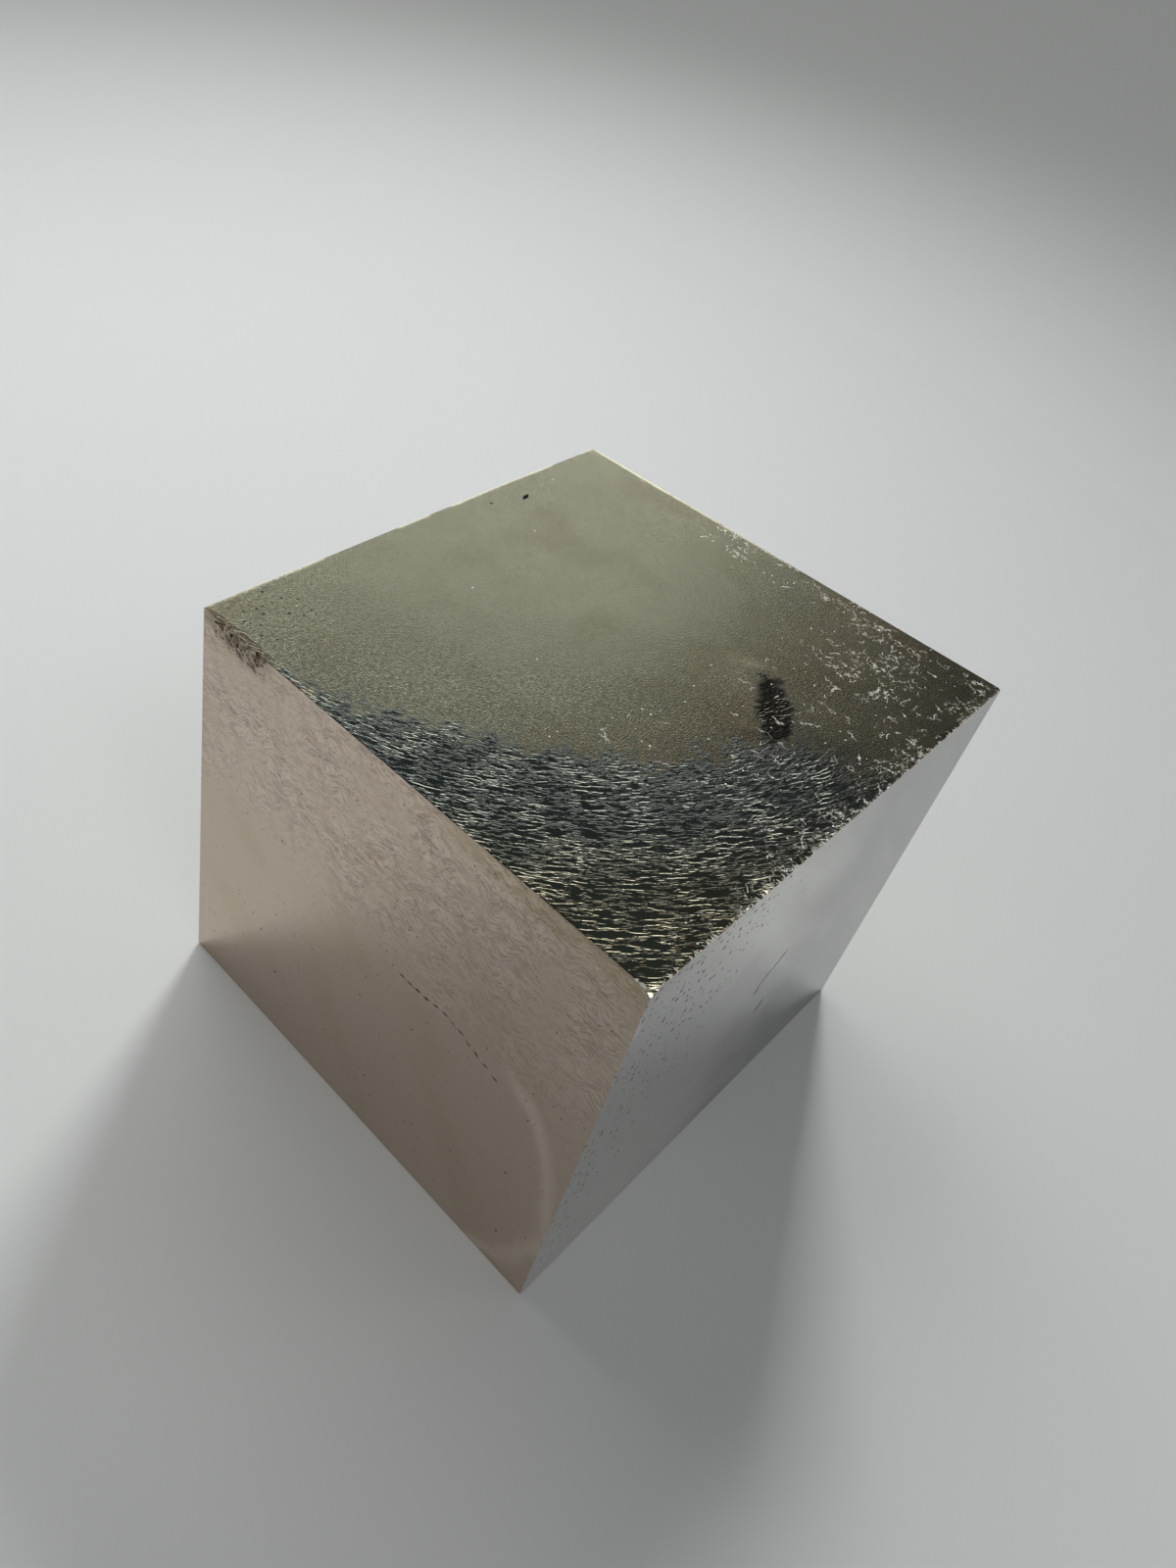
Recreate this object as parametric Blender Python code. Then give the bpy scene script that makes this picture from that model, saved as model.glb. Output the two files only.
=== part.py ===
"""Pyrite specimen: one cube crystal that grew as a single piece.

The crystal lies on its flat bottom face. X is its width, Y its length and Z its height, in metres.
The front face looks along -Y, the right face along +X, and the near top corner is at +X, -Y.
"""
import math
import random
from dataclasses import dataclass

import bmesh
import bpy
from mathutils import Matrix, Vector

MM = 0.001

# Size of the crystal
WIDTH = 25.84 * MM
LENGTH = 27.00 * MM
HEIGHT = 24.22 * MM

# Outward lean of each grown face in degrees, as (x, y, z) parts beside its main axis
LEAN_TOP = (-0.43, -0.34, 0.0)
LEAN_FRONT = (-0.42, 0.0, 0.27)
LEAN_RIGHT = (0.0, -0.10, 0.0)
LEAN_BACK = (-0.25, 0.0, -0.03)
LEAN_LEFT = (0.0, -0.27, 0.23)

# The left face is two slightly inclined facets that meet on an upright line
LEFT_BEND_Y = 5.8 * MM
LEFT_BEND_ANGLE = 0.9

# Edges and corners
EDGE_WIDTH = 0.06 * MM
NEAR_CORNER_DEPTH = 0.22 * MM
BACK_CORNER_DEPTH = 0.16 * MM
FAR_CORNER_DEPTH = 0.10 * MM

# Sawtooth bites along the right edge of the top, and the worn stretch of its front edge
SAW_PITCH = 0.40 * MM
SAW_BITE = 0.13 * MM
WORN_START_X = -11.6 * MM
WORN_END_X = -8.6 * MM
WORN_BITE = 0.30 * MM
WORN_BITES = 9
WORN_STAGGER = Vector((0.0, 0.05, -0.08)) * MM
EDGE_BITE = 0.16 * MM
BITES_PER_EDGE = 5

# Ripples on the top: their spacing, and how their direction turns along the face
RIPPLE_PITCH = 0.50 * MM
RIPPLE_WIDTH = 0.44 * MM
RIPPLE_DEPTH = 0.06 * MM
RIPPLE_LENGTH = 2.0 * MM
RIPPLE_ANGLE_AT_FRONT = 8.0
RIPPLE_TURN_PER_MM = 4.2
RIPPLE_BAND = 16.5 * MM
RIPPLE_RIM = 0.3 * MM
RIPPLE_TRIES = 6000

# Fine level striations of the front face, one above the other
STRIA_PITCH = 1.0 * MM
STRIA_WIDTH = 0.20 * MM
STRIA_DEPTH = 0.03 * MM
STRIA_LENGTH = 2.6 * MM
STRIA_LOWEST_Z = 13.5 * MM

# The crooked hairline step on the front face, as points right of and above its middle
SEAM_ROUTE = ((1.7, 0.9), (3.4, 1.1), (5.2, 0.9), (6.9, 0.5), (8.3, 0.1))
SEAM_WIDTH = 0.12 * MM
SEAM_DEPTH = 0.07 * MM
SEAM_OVERLAP = 0.94

# Scattered pits: the longest, their proportions and how far apart they stay
PIT_LENGTH = 0.36 * MM
PIT_WIDTH_SHARE = 0.6
PIT_DEPTH_SHARE = 0.45
PIT_SPACING = 2.2
PIT_FIELD = (11.0 * MM, 10.5 * MM)
RIGHT_PITS = 34
HIDDEN_PITS = 22
WORN_PITS = 5

# One growth layer is this thick, and layers run this far past the crystal's edges
LEDGE_DEPTH = 0.11 * MM
LEDGE_OVERRUN = 1.0 * MM

# A hollow's outline stands this share of its depth above the face
PROUD_SHARE = 0.25
SEED = 41


@dataclass(frozen=True)
class Pit:
    """A single pit: its place from the middle of a face and its size in millimetres, its turn in degrees."""

    u: float
    v: float
    length: float
    width: float
    depth: float
    turn: float


@dataclass(frozen=True)
class Layer:
    """A growth layer that is missing at a corner of a face: its reach from that corner in millimetres."""

    right_side: bool
    upper_side: bool
    reach: tuple
    thickness: float = 1.0
    lifted: float = 0.0


@dataclass(frozen=True)
class Face:
    """One grown face: its middle, its outward axis and the two directions that lie in it."""

    middle: Vector
    outward: Vector
    across: Vector
    upward: Vector

    def point(self, u, v, out=0.0):
        """A point on the face, u along `across` and v along `upward` from its middle."""
        return self.middle + self.across * u + self.upward * v + self.outward * out

    def turn(self, degrees=0.0):
        """Axes with X along the face's own `across`, turned by an angle, and Z outward."""
        base = Matrix((self.across, self.upward, self.outward)).transposed()
        return base @ Matrix.Rotation(math.radians(degrees), 3, "Z")


def leaning(axis, lean):
    """An outward axis tipped by small angles in degrees."""
    tip = Vector([math.tan(math.radians(angle)) for angle in lean])
    return (Vector(axis) + tip).normalized()


def grown_face(axis, across, lean, middle):
    """A face whose in-plane directions follow its tipped outward axis."""
    outward = leaning(axis, lean)
    upward = outward.cross(Vector(across)).normalized()
    return Face(Vector(middle), outward, upward.cross(outward), upward)


TOP = grown_face((0, 0, 1), (1, 0, 0), LEAN_TOP, (0, 0, HEIGHT))
FRONT = grown_face((0, -1, 0), (1, 0, 0), LEAN_FRONT, (0, -LENGTH / 2, HEIGHT / 2))
RIGHT = grown_face((1, 0, 0), (0, 1, 0), LEAN_RIGHT, (WIDTH / 2, 0, HEIGHT / 2))
BACK = grown_face((0, 1, 0), (-1, 0, 0), LEAN_BACK, (0, LENGTH / 2, HEIGHT / 2))
LEFT = grown_face((-1, 0, 0), (0, -1, 0), LEAN_LEFT, (-WIDTH / 2, 0, HEIGHT / 2))
BOTTOM = grown_face((0, 0, -1), (1, 0, 0), (0, 0, 0), (0, 0, 0))

TOP_PITS = (Pit(-11.35, 6.1, 1.1, 0.42, 0.16, 110), Pit(-11.9, 4.0, 0.35, 0.25, 0.10, 60))
RIGHT_SCARS = (Pit(-0.3, 0.7, 1.0, 0.22, 0.12, 75), Pit(1.2, -1.6, 0.6, 0.30, 0.12, 130))

BACK_LAYERS = (
    Layer(True, False, (7.5, 9.0)),
    Layer(True, False, (4.2, 5.4), thickness=2.0),
    Layer(False, True, (3.1, 6.2), lifted=2.0),
)
LEFT_LAYERS = (Layer(True, False, (3.4, 6.1)), Layer(False, False, (5.2, 3.3), thickness=1.6))
BOTTOM_LAYERS = (Layer(True, False, (5.5, 8.0)), Layer(False, True, (4.0, 5.0)))


def clear_scene():
    """Start from an empty scene."""
    for item in list(bpy.data.objects):
        bpy.data.objects.remove(item, do_unlink=True)


def pyrite_material():
    """Pale brassy metal, a little dull."""
    material = bpy.data.materials.new("pyrite")
    material.use_nodes = True
    shader = material.node_tree.nodes["Principled BSDF"]
    shader.inputs["Base Color"].default_value = (0.56, 0.53, 0.42, 1.0)
    shader.inputs["Metallic"].default_value = 1.0
    shader.inputs["Roughness"].default_value = 0.28
    material.diffuse_color = (0.56, 0.53, 0.42, 1.0)
    return material


def shave(mesh, point, outward):
    """Cut away what lies outside a plane and close the cut with one flat face."""
    everything = mesh.verts[:] + mesh.edges[:] + mesh.faces[:]
    cut = bmesh.ops.bisect_plane(mesh, geom=everything, plane_co=point, plane_no=outward, clear_outer=True)
    rim = [item for item in cut["geom_cut"] if isinstance(item, bmesh.types.BMEdge)]
    if rim:
        bmesh.ops.contextual_create(mesh, geom=rim)


def corner(*faces):
    """The point where three faces meet."""
    rows = Matrix([face.outward for face in faces])
    offsets = Vector([face.outward.dot(face.middle) for face in faces])
    return rows.inverted() @ offsets


def crystal_body():
    """The bounded block: six grown faces, a bend on the left face, three blunt corners, fine edges."""
    mesh = bmesh.new()
    bmesh.ops.create_cube(mesh, size=1.2)
    bmesh.ops.scale(mesh, vec=(WIDTH, LENGTH, HEIGHT), verts=mesh.verts)
    bmesh.ops.translate(mesh, vec=(0, 0, HEIGHT / 2), verts=mesh.verts)
    for face in (TOP, FRONT, RIGHT, BACK, LEFT, BOTTOM):
        shave(mesh, face.middle, face.outward)
    bend = Matrix.Rotation(math.radians(-LEFT_BEND_ANGLE), 3, "Z") @ LEFT.outward
    shave(mesh, LEFT.point(-LEFT_BEND_Y, 0), bend)
    for faces, tip, depth in (
        ((TOP, FRONT, RIGHT), (0.55, -0.50, 1.0), NEAR_CORNER_DEPTH),
        ((TOP, BACK, LEFT), (-0.9, 0.8, 1.0), BACK_CORNER_DEPTH),
        ((TOP, BACK, RIGHT), (0.8, 0.9, 0.7), FAR_CORNER_DEPTH),
    ):
        outward = Vector(tip).normalized()
        shave(mesh, corner(*faces) - outward * depth, outward)
    bmesh.ops.bevel(
        mesh, geom=mesh.edges[:], offset=EDGE_WIDTH, segments=1, profile=0.5, affect="EDGES", material=-1
    )
    return mesh


def add_hollow(mesh, face, u, v, size, degrees=0.0):
    """One four-sided hollow, a double pyramid set a little proud; size is length, width and depth."""
    made = bmesh.ops.create_uvsphere(mesh, u_segments=4, v_segments=2, radius=1.0)
    depth = size[2] / (1 - PROUD_SHARE)
    shape = Matrix.Diagonal(Vector((size[0] / 2, size[1] / 2, depth)))
    place = Matrix.Translation(face.point(u, v, PROUD_SHARE * depth)) @ (face.turn(degrees) @ shape).to_4x4()
    bmesh.ops.transform(mesh, matrix=place, verts=made["verts"])


def add_layer(mesh, face, half_width, half_height, layer):
    """The slab that one missing growth layer leaves, past the face's edges on its own corner."""
    width, height = (reach * MM for reach in layer.reach)
    u = (half_width - width / 2 + LEDGE_OVERRUN / 2) * (1 if layer.right_side else -1)
    v = (half_height - height / 2 + LEDGE_OVERRUN / 2 - layer.lifted * MM) * (1 if layer.upper_side else -1)
    depth = LEDGE_DEPTH * layer.thickness
    made = bmesh.ops.create_cube(mesh, size=1.0)
    shape = Matrix.Diagonal(Vector((width + LEDGE_OVERRUN, height + LEDGE_OVERRUN, 2 * depth)))
    place = Matrix.Translation(face.point(u, v)) @ (face.turn() @ shape).to_4x4()
    bmesh.ops.transform(mesh, matrix=place, verts=made["verts"])


def add_bite(mesh, place, reach, rng):
    """One splinter broken out of an edge, an octahedron turned at random."""
    made = bmesh.ops.create_uvsphere(mesh, u_segments=4, v_segments=2, radius=reach)
    spin = Matrix.Rotation(rng.uniform(0, math.tau), 4, Vector((rng.random(), rng.random(), 1.0)))
    bmesh.ops.transform(mesh, matrix=Matrix.Translation(place) @ spin, verts=made["verts"])


def ripple_hollows(mesh, rng):
    """Shallow troughs on the near part of the top, kept apart, that swing from across to lengthwise."""
    placed = []
    for _ in range(RIPPLE_TRIES):
        spot = Vector((rng.uniform(-WIDTH / 2, WIDTH / 2), rng.uniform(-LENGTH / 2, LENGTH / 2)))
        length = RIPPLE_LENGTH * rng.uniform(0.6, 1.0)
        turn = RIPPLE_ANGLE_AT_FRONT + RIPPLE_TURN_PER_MM * (spot.y + LENGTH / 2) / MM + rng.uniform(-8, 8)
        along = Vector((math.cos(math.radians(turn)), math.sin(math.radians(turn))))
        reach = WIDTH / 2 - spot.x + spot.y + LENGTH / 2
        side_room = WIDTH / 2 - abs(spot.x) - abs(along.x) * length / 2
        end_room = LENGTH / 2 - abs(spot.y) - abs(along.y) * length / 2
        apart = all(
            abs((spot - other).dot(along)) > RIPPLE_LENGTH or abs((spot - other).cross(along)) > RIPPLE_PITCH
            for other in placed
        )
        if reach < RIPPLE_BAND and min(side_room, end_room) > RIPPLE_RIM and apart:
            placed.append(spot)
            size = (length, RIPPLE_WIDTH, RIPPLE_DEPTH * rng.uniform(0.7, 1.0))
            add_hollow(mesh, TOP, spot.x, spot.y, size, turn)


def stria_hollows(mesh, rng):
    """Short level grooves on the upper part of the front face."""
    rows = round((HEIGHT - STRIA_LOWEST_Z) / STRIA_PITCH)
    columns = round(WIDTH / (STRIA_LENGTH * 1.15))
    for row in range(rows):
        for column in range(columns):
            shift = 0.5 + 0.35 * (row % 2) + rng.uniform(-0.08, 0.08)
            u = (column + shift) * WIDTH / columns - WIDTH / 2
            v = HEIGHT / 2 - (row + 0.7 + rng.uniform(-0.2, 0.2)) * STRIA_PITCH
            length = STRIA_LENGTH * rng.uniform(0.6, 1.0)
            if abs(u) < WIDTH / 2 - length * 0.6:
                add_hollow(mesh, FRONT, u, v, (length, STRIA_WIDTH, STRIA_DEPTH), rng.uniform(-4, 4))


def growth_seam(mesh):
    """The crooked hairline step across the right half of the front face."""
    for (u0, v0), (u1, v1) in zip(SEAM_ROUTE, SEAM_ROUTE[1:]):
        length = math.hypot(u1 - u0, v1 - v0) * SEAM_OVERLAP * MM
        turn = math.degrees(math.atan2(v1 - v0, u1 - u0))
        u, v = (u0 + u1) / 2 * MM, (v0 + v1) / 2 * MM
        add_hollow(mesh, FRONT, u, v, (length, SEAM_WIDTH, SEAM_DEPTH), turn)


def scattered_pits(mesh, face, count, rng, lean=0.0):
    """Small pits spread over a face, kept apart from each other."""
    taken = []
    while len(taken) < count:
        u = rng.uniform(-PIT_FIELD[0], PIT_FIELD[0])
        v = rng.uniform(-PIT_FIELD[1], PIT_FIELD[1])
        if all(math.hypot(u - a, v - b) > PIT_SPACING * PIT_LENGTH for a, b in taken):
            taken.append((u, v))
            length = PIT_LENGTH * rng.uniform(0.4, 1.0)
            size = (length, length * PIT_WIDTH_SHARE, length * PIT_DEPTH_SHARE)
            add_hollow(mesh, face, u, v, size, lean + rng.uniform(-15, 15))


def single_pits(mesh, face, pits):
    """Pits that are placed one by one."""
    for pit in pits:
        size = (pit.length * MM, pit.width * MM, pit.depth * MM)
        add_hollow(mesh, face, pit.u * MM, pit.v * MM, size, pit.turn)


def all_pits(mesh, rng):
    """Single pits where the crystal shows them, and a scatter on the upright faces."""
    single_pits(mesh, TOP, TOP_PITS)
    worn = [Pit(-12.0 + 0.75 * k, -12.3 + 0.45 * (k % 2), 0.34, 0.22, 0.10, 30 * k) for k in range(WORN_PITS)]
    single_pits(mesh, TOP, worn)
    single_pits(mesh, RIGHT, RIGHT_SCARS)
    scattered_pits(mesh, RIGHT, RIGHT_PITS, rng, 90)
    scattered_pits(mesh, BACK, HIDDEN_PITS, rng)
    scattered_pits(mesh, LEFT, HIDDEN_PITS, rng, 90)


def edge_bites(mesh, rng):
    """Sawtooth bites, the worn stretch and a few chips on the other edges."""
    near = corner(TOP, FRONT, RIGHT)
    far = corner(TOP, BACK, RIGHT)
    teeth = round((far - near).length / SAW_PITCH)
    for tooth in range(2, teeth - 1):
        share = (tooth + rng.uniform(-0.2, 0.2)) / teeth
        add_bite(mesh, near.lerp(far, share), SAW_BITE * (1.15 - 0.6 * share), rng)
    left = corner(TOP, FRONT, LEFT)
    for step in range(WORN_BITES):
        x = WORN_START_X + (WORN_END_X - WORN_START_X) * step / (WORN_BITES - 1)
        share = (x - left.x) / (near.x - left.x)
        place = left.lerp(near, share) + WORN_STAGGER * (step % 3)
        add_bite(mesh, place, WORN_BITE * rng.uniform(0.45, 1.0), rng)
    for start, end in (
        (corner(TOP, FRONT, RIGHT), corner(BOTTOM, FRONT, RIGHT)),
        (corner(TOP, BACK, LEFT), corner(TOP, BACK, RIGHT)),
        (corner(TOP, BACK, RIGHT), corner(BOTTOM, BACK, RIGHT)),
        (corner(TOP, FRONT, LEFT), corner(BOTTOM, FRONT, LEFT)),
        (corner(BOTTOM, FRONT, LEFT), corner(BOTTOM, FRONT, RIGHT)),
        (corner(BOTTOM, BACK, RIGHT), corner(BOTTOM, FRONT, RIGHT)),
    ):
        for step in range(BITES_PER_EDGE):
            share = (step + rng.uniform(0.2, 0.8)) / BITES_PER_EDGE
            add_bite(mesh, start.lerp(end, share), EDGE_BITE * rng.uniform(0.5, 1.0), rng)


def growth_ledges(mesh):
    """Thin square-cornered layers missing from the corners of the back, left and bottom faces."""
    for face, half_width, half_height, layers in (
        (BACK, WIDTH / 2, HEIGHT / 2, BACK_LAYERS),
        (LEFT, LENGTH / 2, HEIGHT / 2, LEFT_LAYERS),
        (BOTTOM, WIDTH / 2, LENGTH / 2, BOTTOM_LAYERS),
    ):
        for layer in layers:
            add_layer(mesh, face, half_width, half_height, layer)


def cutter(name, mesh):
    """A hidden object that holds the shapes to take away."""
    bmesh.ops.recalc_face_normals(mesh, faces=mesh.faces[:])
    item = new_object(name, mesh)
    item.hide_render = True
    item.display_type = "WIRE"
    return item


def new_object(name, mesh):
    """Put a finished mesh in the scene under a name."""
    data = bpy.data.meshes.new(name)
    mesh.to_mesh(data)
    mesh.free()
    item = bpy.data.objects.new(name, data)
    bpy.context.scene.collection.objects.link(item)
    return item


def carve(target, tool):
    """Take a cutter's shapes off the crystal."""
    boolean = target.modifiers.new(tool.name, "BOOLEAN")
    boolean.operation = "DIFFERENCE"
    boolean.solver = "EXACT"
    boolean.use_self = True
    boolean.object = tool


def pyrite_cube():
    """The whole crystal with its relief."""
    rng = random.Random(SEED)
    crystal = new_object("pyrite_cube", crystal_body())
    crystal.data.materials.append(pyrite_material())
    ledges = bmesh.new()
    growth_ledges(ledges)
    carve(crystal, cutter("ledge_cutter", ledges))
    relief = bmesh.new()
    ripple_hollows(relief, rng)
    stria_hollows(relief, rng)
    growth_seam(relief)
    all_pits(relief, rng)
    carve(crystal, cutter("relief_cutter", relief))
    bites = bmesh.new()
    edge_bites(bites, rng)
    carve(crystal, cutter("bite_cutter", bites))
    return crystal


def main():
    """Build the specimen."""
    clear_scene()
    pyrite_cube()


main()
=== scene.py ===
"""Pyrite specimen: one cube crystal with rippled, satin and mirror-bright faces on a pale studio floor.

Lengths inside the crystal's own functions are millimetres in the crystal's frame; Blender gets metres.
On a face, u runs across it from its middle and v up it; relief counts v from the face's lower edge.
"""

import logging
import math
import random
from dataclasses import dataclass
from enum import Enum
from typing import Callable, Iterable

import bmesh
import bpy
import numpy as np
from mathutils import Matrix, Vector


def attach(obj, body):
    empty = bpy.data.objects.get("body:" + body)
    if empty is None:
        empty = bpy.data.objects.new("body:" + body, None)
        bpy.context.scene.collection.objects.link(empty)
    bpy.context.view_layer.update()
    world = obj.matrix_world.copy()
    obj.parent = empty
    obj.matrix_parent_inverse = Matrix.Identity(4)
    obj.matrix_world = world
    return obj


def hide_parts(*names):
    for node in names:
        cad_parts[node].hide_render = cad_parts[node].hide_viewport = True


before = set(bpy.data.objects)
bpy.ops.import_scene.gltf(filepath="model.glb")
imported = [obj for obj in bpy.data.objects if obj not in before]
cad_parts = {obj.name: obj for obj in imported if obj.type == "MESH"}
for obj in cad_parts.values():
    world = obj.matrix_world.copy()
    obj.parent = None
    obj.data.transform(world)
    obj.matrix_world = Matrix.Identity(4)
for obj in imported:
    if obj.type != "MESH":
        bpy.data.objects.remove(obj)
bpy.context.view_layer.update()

MM = 0.001
NODE = "pyrite_cube"
BODY = "root"

# The float layer that says how a cut looks: above 0 dark and rough, as painted shade inside pits and as the
# darker tone of worn patches; below 0 white, as a painted glint on notches and chips
RECESS = "recess"

# Where the growth arcs of the top start, as u and v, and the millimetres along them to a radian
GROWTH_CENTRE = (-13.6, 22.5)
ARC_SCALE = 28.0

# How near a place has to be to a face of the unit cube, and to a leaning face in millimetres
UNIT_FACE = 0.4999
FACE_REACH = 1e-3

# Lines on the faces: ridges as u and v of the relief, cracks as u and v from the face's middle
HOOK_ROUTE = ((4.8, 18.0), (5.4, 17.1), (6.0, 16.1), (6.8, 15.1), (7.3, 14.4))
FAN_ROUTE = ((8.9, 13.6), (10.6, 12.0), (11.9, 9.6), (12.6, 6.4))
SEAM_ROUTE = ((1.9, 1.3), (3.4, 1.25), (4.6, 1.5), (5.6, 1.4), (6.6, 1.0), (8.4, 0.45))
LONG_CRACK = ((-0.85, 0.53), (-0.76, 1.38), (-0.08, 1.78), (0.72, 2.53))
SHORT_CRACK = ((0.77, -2.35), (1.12, -1.6))

# Worn patches of the front near its left corner: u, drop below the edge, length, height, turn in degrees
WORN_PATCHES = (
    (-11.5, 0.35, 1.3, 0.90, 8),
    (-11.0, 0.80, 1.2, 0.70, -34),
    (-10.5, 0.50, 1.6, 1.20, -14),
    (-10.2, 1.10, 1.1, 0.50, -30),
    (-9.7, 0.45, 1.5, 1.25, 16),
    (-9.3, 1.10, 1.3, 0.60, -38),
    (-9.0, 0.60, 1.2, 0.90, -20),
    (-8.6, 0.28, 1.3, 0.60, 10),
)

# The hook-shaped patch with its painted dark reflection, and the thickest group of pale marks, both on the
# top
HOOK_MIDDLE = (7.1, 2.55)
HOOK_TURN = math.radians(-52.8)
MARK_GROUP = (7.9, 9.6)

# How far a normal leans towards an axis when a point starts to count as that face's, and when it fully does
FACING = (0.6, 0.85)

Pair = tuple[float, float]
Triple = tuple[float, float, float]
Colour = tuple[float, float, float]

log = logging.getLogger("pyrite")


def smooth_ramp(low: float, high: float, value: np.ndarray) -> np.ndarray:
    """Smooth step from 0 at low to 1 at high; high may be the smaller one.

    Args:
        low: Where the result is 0.
        high: Where the result is 1.
        value: The values to ramp.

    Returns:
        Values from 0 to 1.
    """
    share = np.clip((value - low) / (high - low), 0.0, 1.0)
    return share * share * (3.0 - 2.0 * share)


def lattice_noise(x: np.ndarray, y: np.ndarray, seed: int) -> np.ndarray:
    """Gradient noise on a unit lattice.

    Args:
        x: First coordinate, in lattice cells.
        y: Second coordinate, in lattice cells.
        seed: Chooses the pattern.

    Returns:
        Smooth values from about -1 to 1.
    """
    cell_x, cell_y = np.floor(x).astype(np.int64), np.floor(y).astype(np.int64)
    part_x, part_y = x - cell_x, y - cell_y
    fade_x = part_x**3 * (part_x * (part_x * 6 - 15) + 10)
    fade_y = part_y**3 * (part_y * (part_y * 6 - 15) + 10)

    def slope(step_x: int, step_y: int) -> np.ndarray:
        """The height that one lattice corner's own slope gives at the point.

        Args:
            step_x: 0 for the corner below in x, 1 for the one above.
            step_y: The same in y.

        Returns:
            The heights.
        """
        mixed = (cell_x + step_x) * 374761393 + (cell_y + step_y) * 668265263 + seed * 144269
        mixed = (mixed ^ (mixed >> 13)) * 1274126177
        angle = ((mixed ^ (mixed >> 16)) & 0xFFFF) * (math.tau / 0xFFFF)
        return np.cos(angle) * (part_x - step_x) + np.sin(angle) * (part_y - step_y)

    near = slope(0, 0) * (1 - fade_x) + slope(1, 0) * fade_x
    far = slope(0, 1) * (1 - fade_x) + slope(1, 1) * fade_x
    return (near * (1 - fade_y) + far * fade_y) * 1.5


def from_growth_centre(u: np.ndarray, v: np.ndarray) -> np.ndarray:
    """Distance on the top from the centre of the growth arcs."""
    return np.hypot(u - GROWTH_CENTRE[0], v - GROWTH_CENTRE[1])


class Side(Enum):
    """The six faces, each with its main axis, its in-plane direction and its lean in degrees."""

    TOP = ((0, 0, 1), (1, 0, 0), (-0.43, -0.34, 0.0))
    FRONT = ((0, -1, 0), (1, 0, 0), (-0.42, 0.0, 0.27))
    RIGHT = ((1, 0, 0), (0, 1, 0), (0.0, -0.10, 0.0))
    BACK = ((0, 1, 0), (-1, 0, 0), (-0.25, 0.0, -0.03))
    LEFT = ((-1, 0, 0), (0, -1, 0), (0.0, -0.27, 0.23))
    BOTTOM = ((0, 0, -1), (1, 0, 0), (0.0, 0.0, 0.0))

    @property
    def axis(self) -> Vector:
        """The main axis that the face looks along."""
        return Vector(self.value[0])

    @property
    def outward(self) -> Vector:
        """The leaning outward normal."""
        tip = Vector([math.tan(math.radians(angle)) for angle in self.value[2]])
        return (self.axis + tip).normalized()

    @property
    def upward(self) -> Vector:
        """The second in-plane direction."""
        return self.outward.cross(Vector(self.value[1])).normalized()

    @property
    def across(self) -> Vector:
        """The first in-plane direction."""
        return self.upward.cross(self.outward)


class Paint(Enum):
    """Slow patterns that the crystal's vertices carry for its finish."""

    POLISH = "polish"
    THREADS = "threads"
    WARMTH = "warmth"
    CLOUD = "cloud"
    DRIFT = "drift"
    FAN = "fan"
    CROWD = "crowd"
    HOOK = "hook"
    WEAR = "wear"


@dataclass(frozen=True)
class Steps:
    """Short wavy growth steps, level or in arcs round a growth centre; sizes in millimetres."""

    height: float
    pitch: float
    length: float
    seed: int
    centre: Pair | None = None
    riser: float = 0.3
    wander: float = 1.0

    def lines(self, u: np.ndarray, v: np.ndarray) -> tuple[np.ndarray, np.ndarray]:
        """Coordinates along and across the steps.

        Args:
            u: Place across the face.
            v: Place up the face.

        Returns:
            Millimetres along the steps, and across them.
        """
        if self.centre is None:
            return u, v
        du, dv = u - self.centre[0], v - self.centre[1]
        return np.arctan2(dv, du) * ARC_SCALE, np.hypot(du, dv)

    def at(self, u: np.ndarray, v: np.ndarray) -> np.ndarray:
        """Height of the steps: a slow fall and a steep short rise in every pitch.

        Args:
            u: Place across the face, from its middle.
            v: Place up the face, from its lower edge.

        Returns:
            Heights around zero.
        """
        along, across = self.lines(u, v)
        rows = across / self.pitch
        wave = lattice_noise((along + 0.55 * across) / self.length / 1.6, rows / 3.2, self.seed)
        ripple = lattice_noise((along - 0.3 * across) / self.length * 2.1, rows / 1.7, self.seed + 1)
        phase = rows + self.wander * wave + 0.4 * self.wander * ripple
        share = phase - np.floor(phase)
        rise = (share - (1 - self.riser)) / self.riser
        profile = np.where(share < 1 - self.riser, 1 - share / (1 - self.riser), rise) - 0.5
        broken = lattice_noise((along - 0.8 * across) / self.length / 0.9, rows / 1.6, self.seed + 2)
        return self.height * profile * np.clip(0.75 + 0.9 * broken, 0.2, 1.4)


@dataclass(frozen=True)
class Ridge:
    """A low ridge along a crooked line on a face, with a slope of its own on either side of the route."""

    route: tuple[Pair, ...]
    height: float
    left_width: float
    right_width: float
    end_fade: float = 0.5

    def at(self, u: np.ndarray, v: np.ndarray) -> np.ndarray:
        """Height of the ridge at places of the face.

        Args:
            u: Place across the face, from its middle.
            v: Place up the face, from its lower edge.

        Returns:
            Heights from 0 up, fading away past the ends of the route.
        """
        nearest = np.full_like(u, 1e9)
        leftward, beyond = np.zeros_like(u), np.zeros_like(u)
        for start, end in zip(self.route, self.route[1:]):
            du, dv = end[0] - start[0], end[1] - start[1]
            from_u, from_v = u - start[0], v - start[1]
            progress = (from_u * du + from_v * dv) / (du * du + dv * dv)
            share = np.clip(progress, 0, 1)
            distance = np.hypot(from_u - share * du, from_v - share * dv)
            leftward = np.where(distance < nearest, du * from_v - dv * from_u, leftward)
            beyond = np.where(distance < nearest, abs(progress - share) * math.hypot(du, dv), beyond)
            nearest = np.minimum(nearest, distance)
        width = np.where(leftward > 0, self.left_width, self.right_width)
        return self.height * np.exp(-((nearest / width) ** 2) - (beyond / self.end_fade) ** 2)


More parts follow.
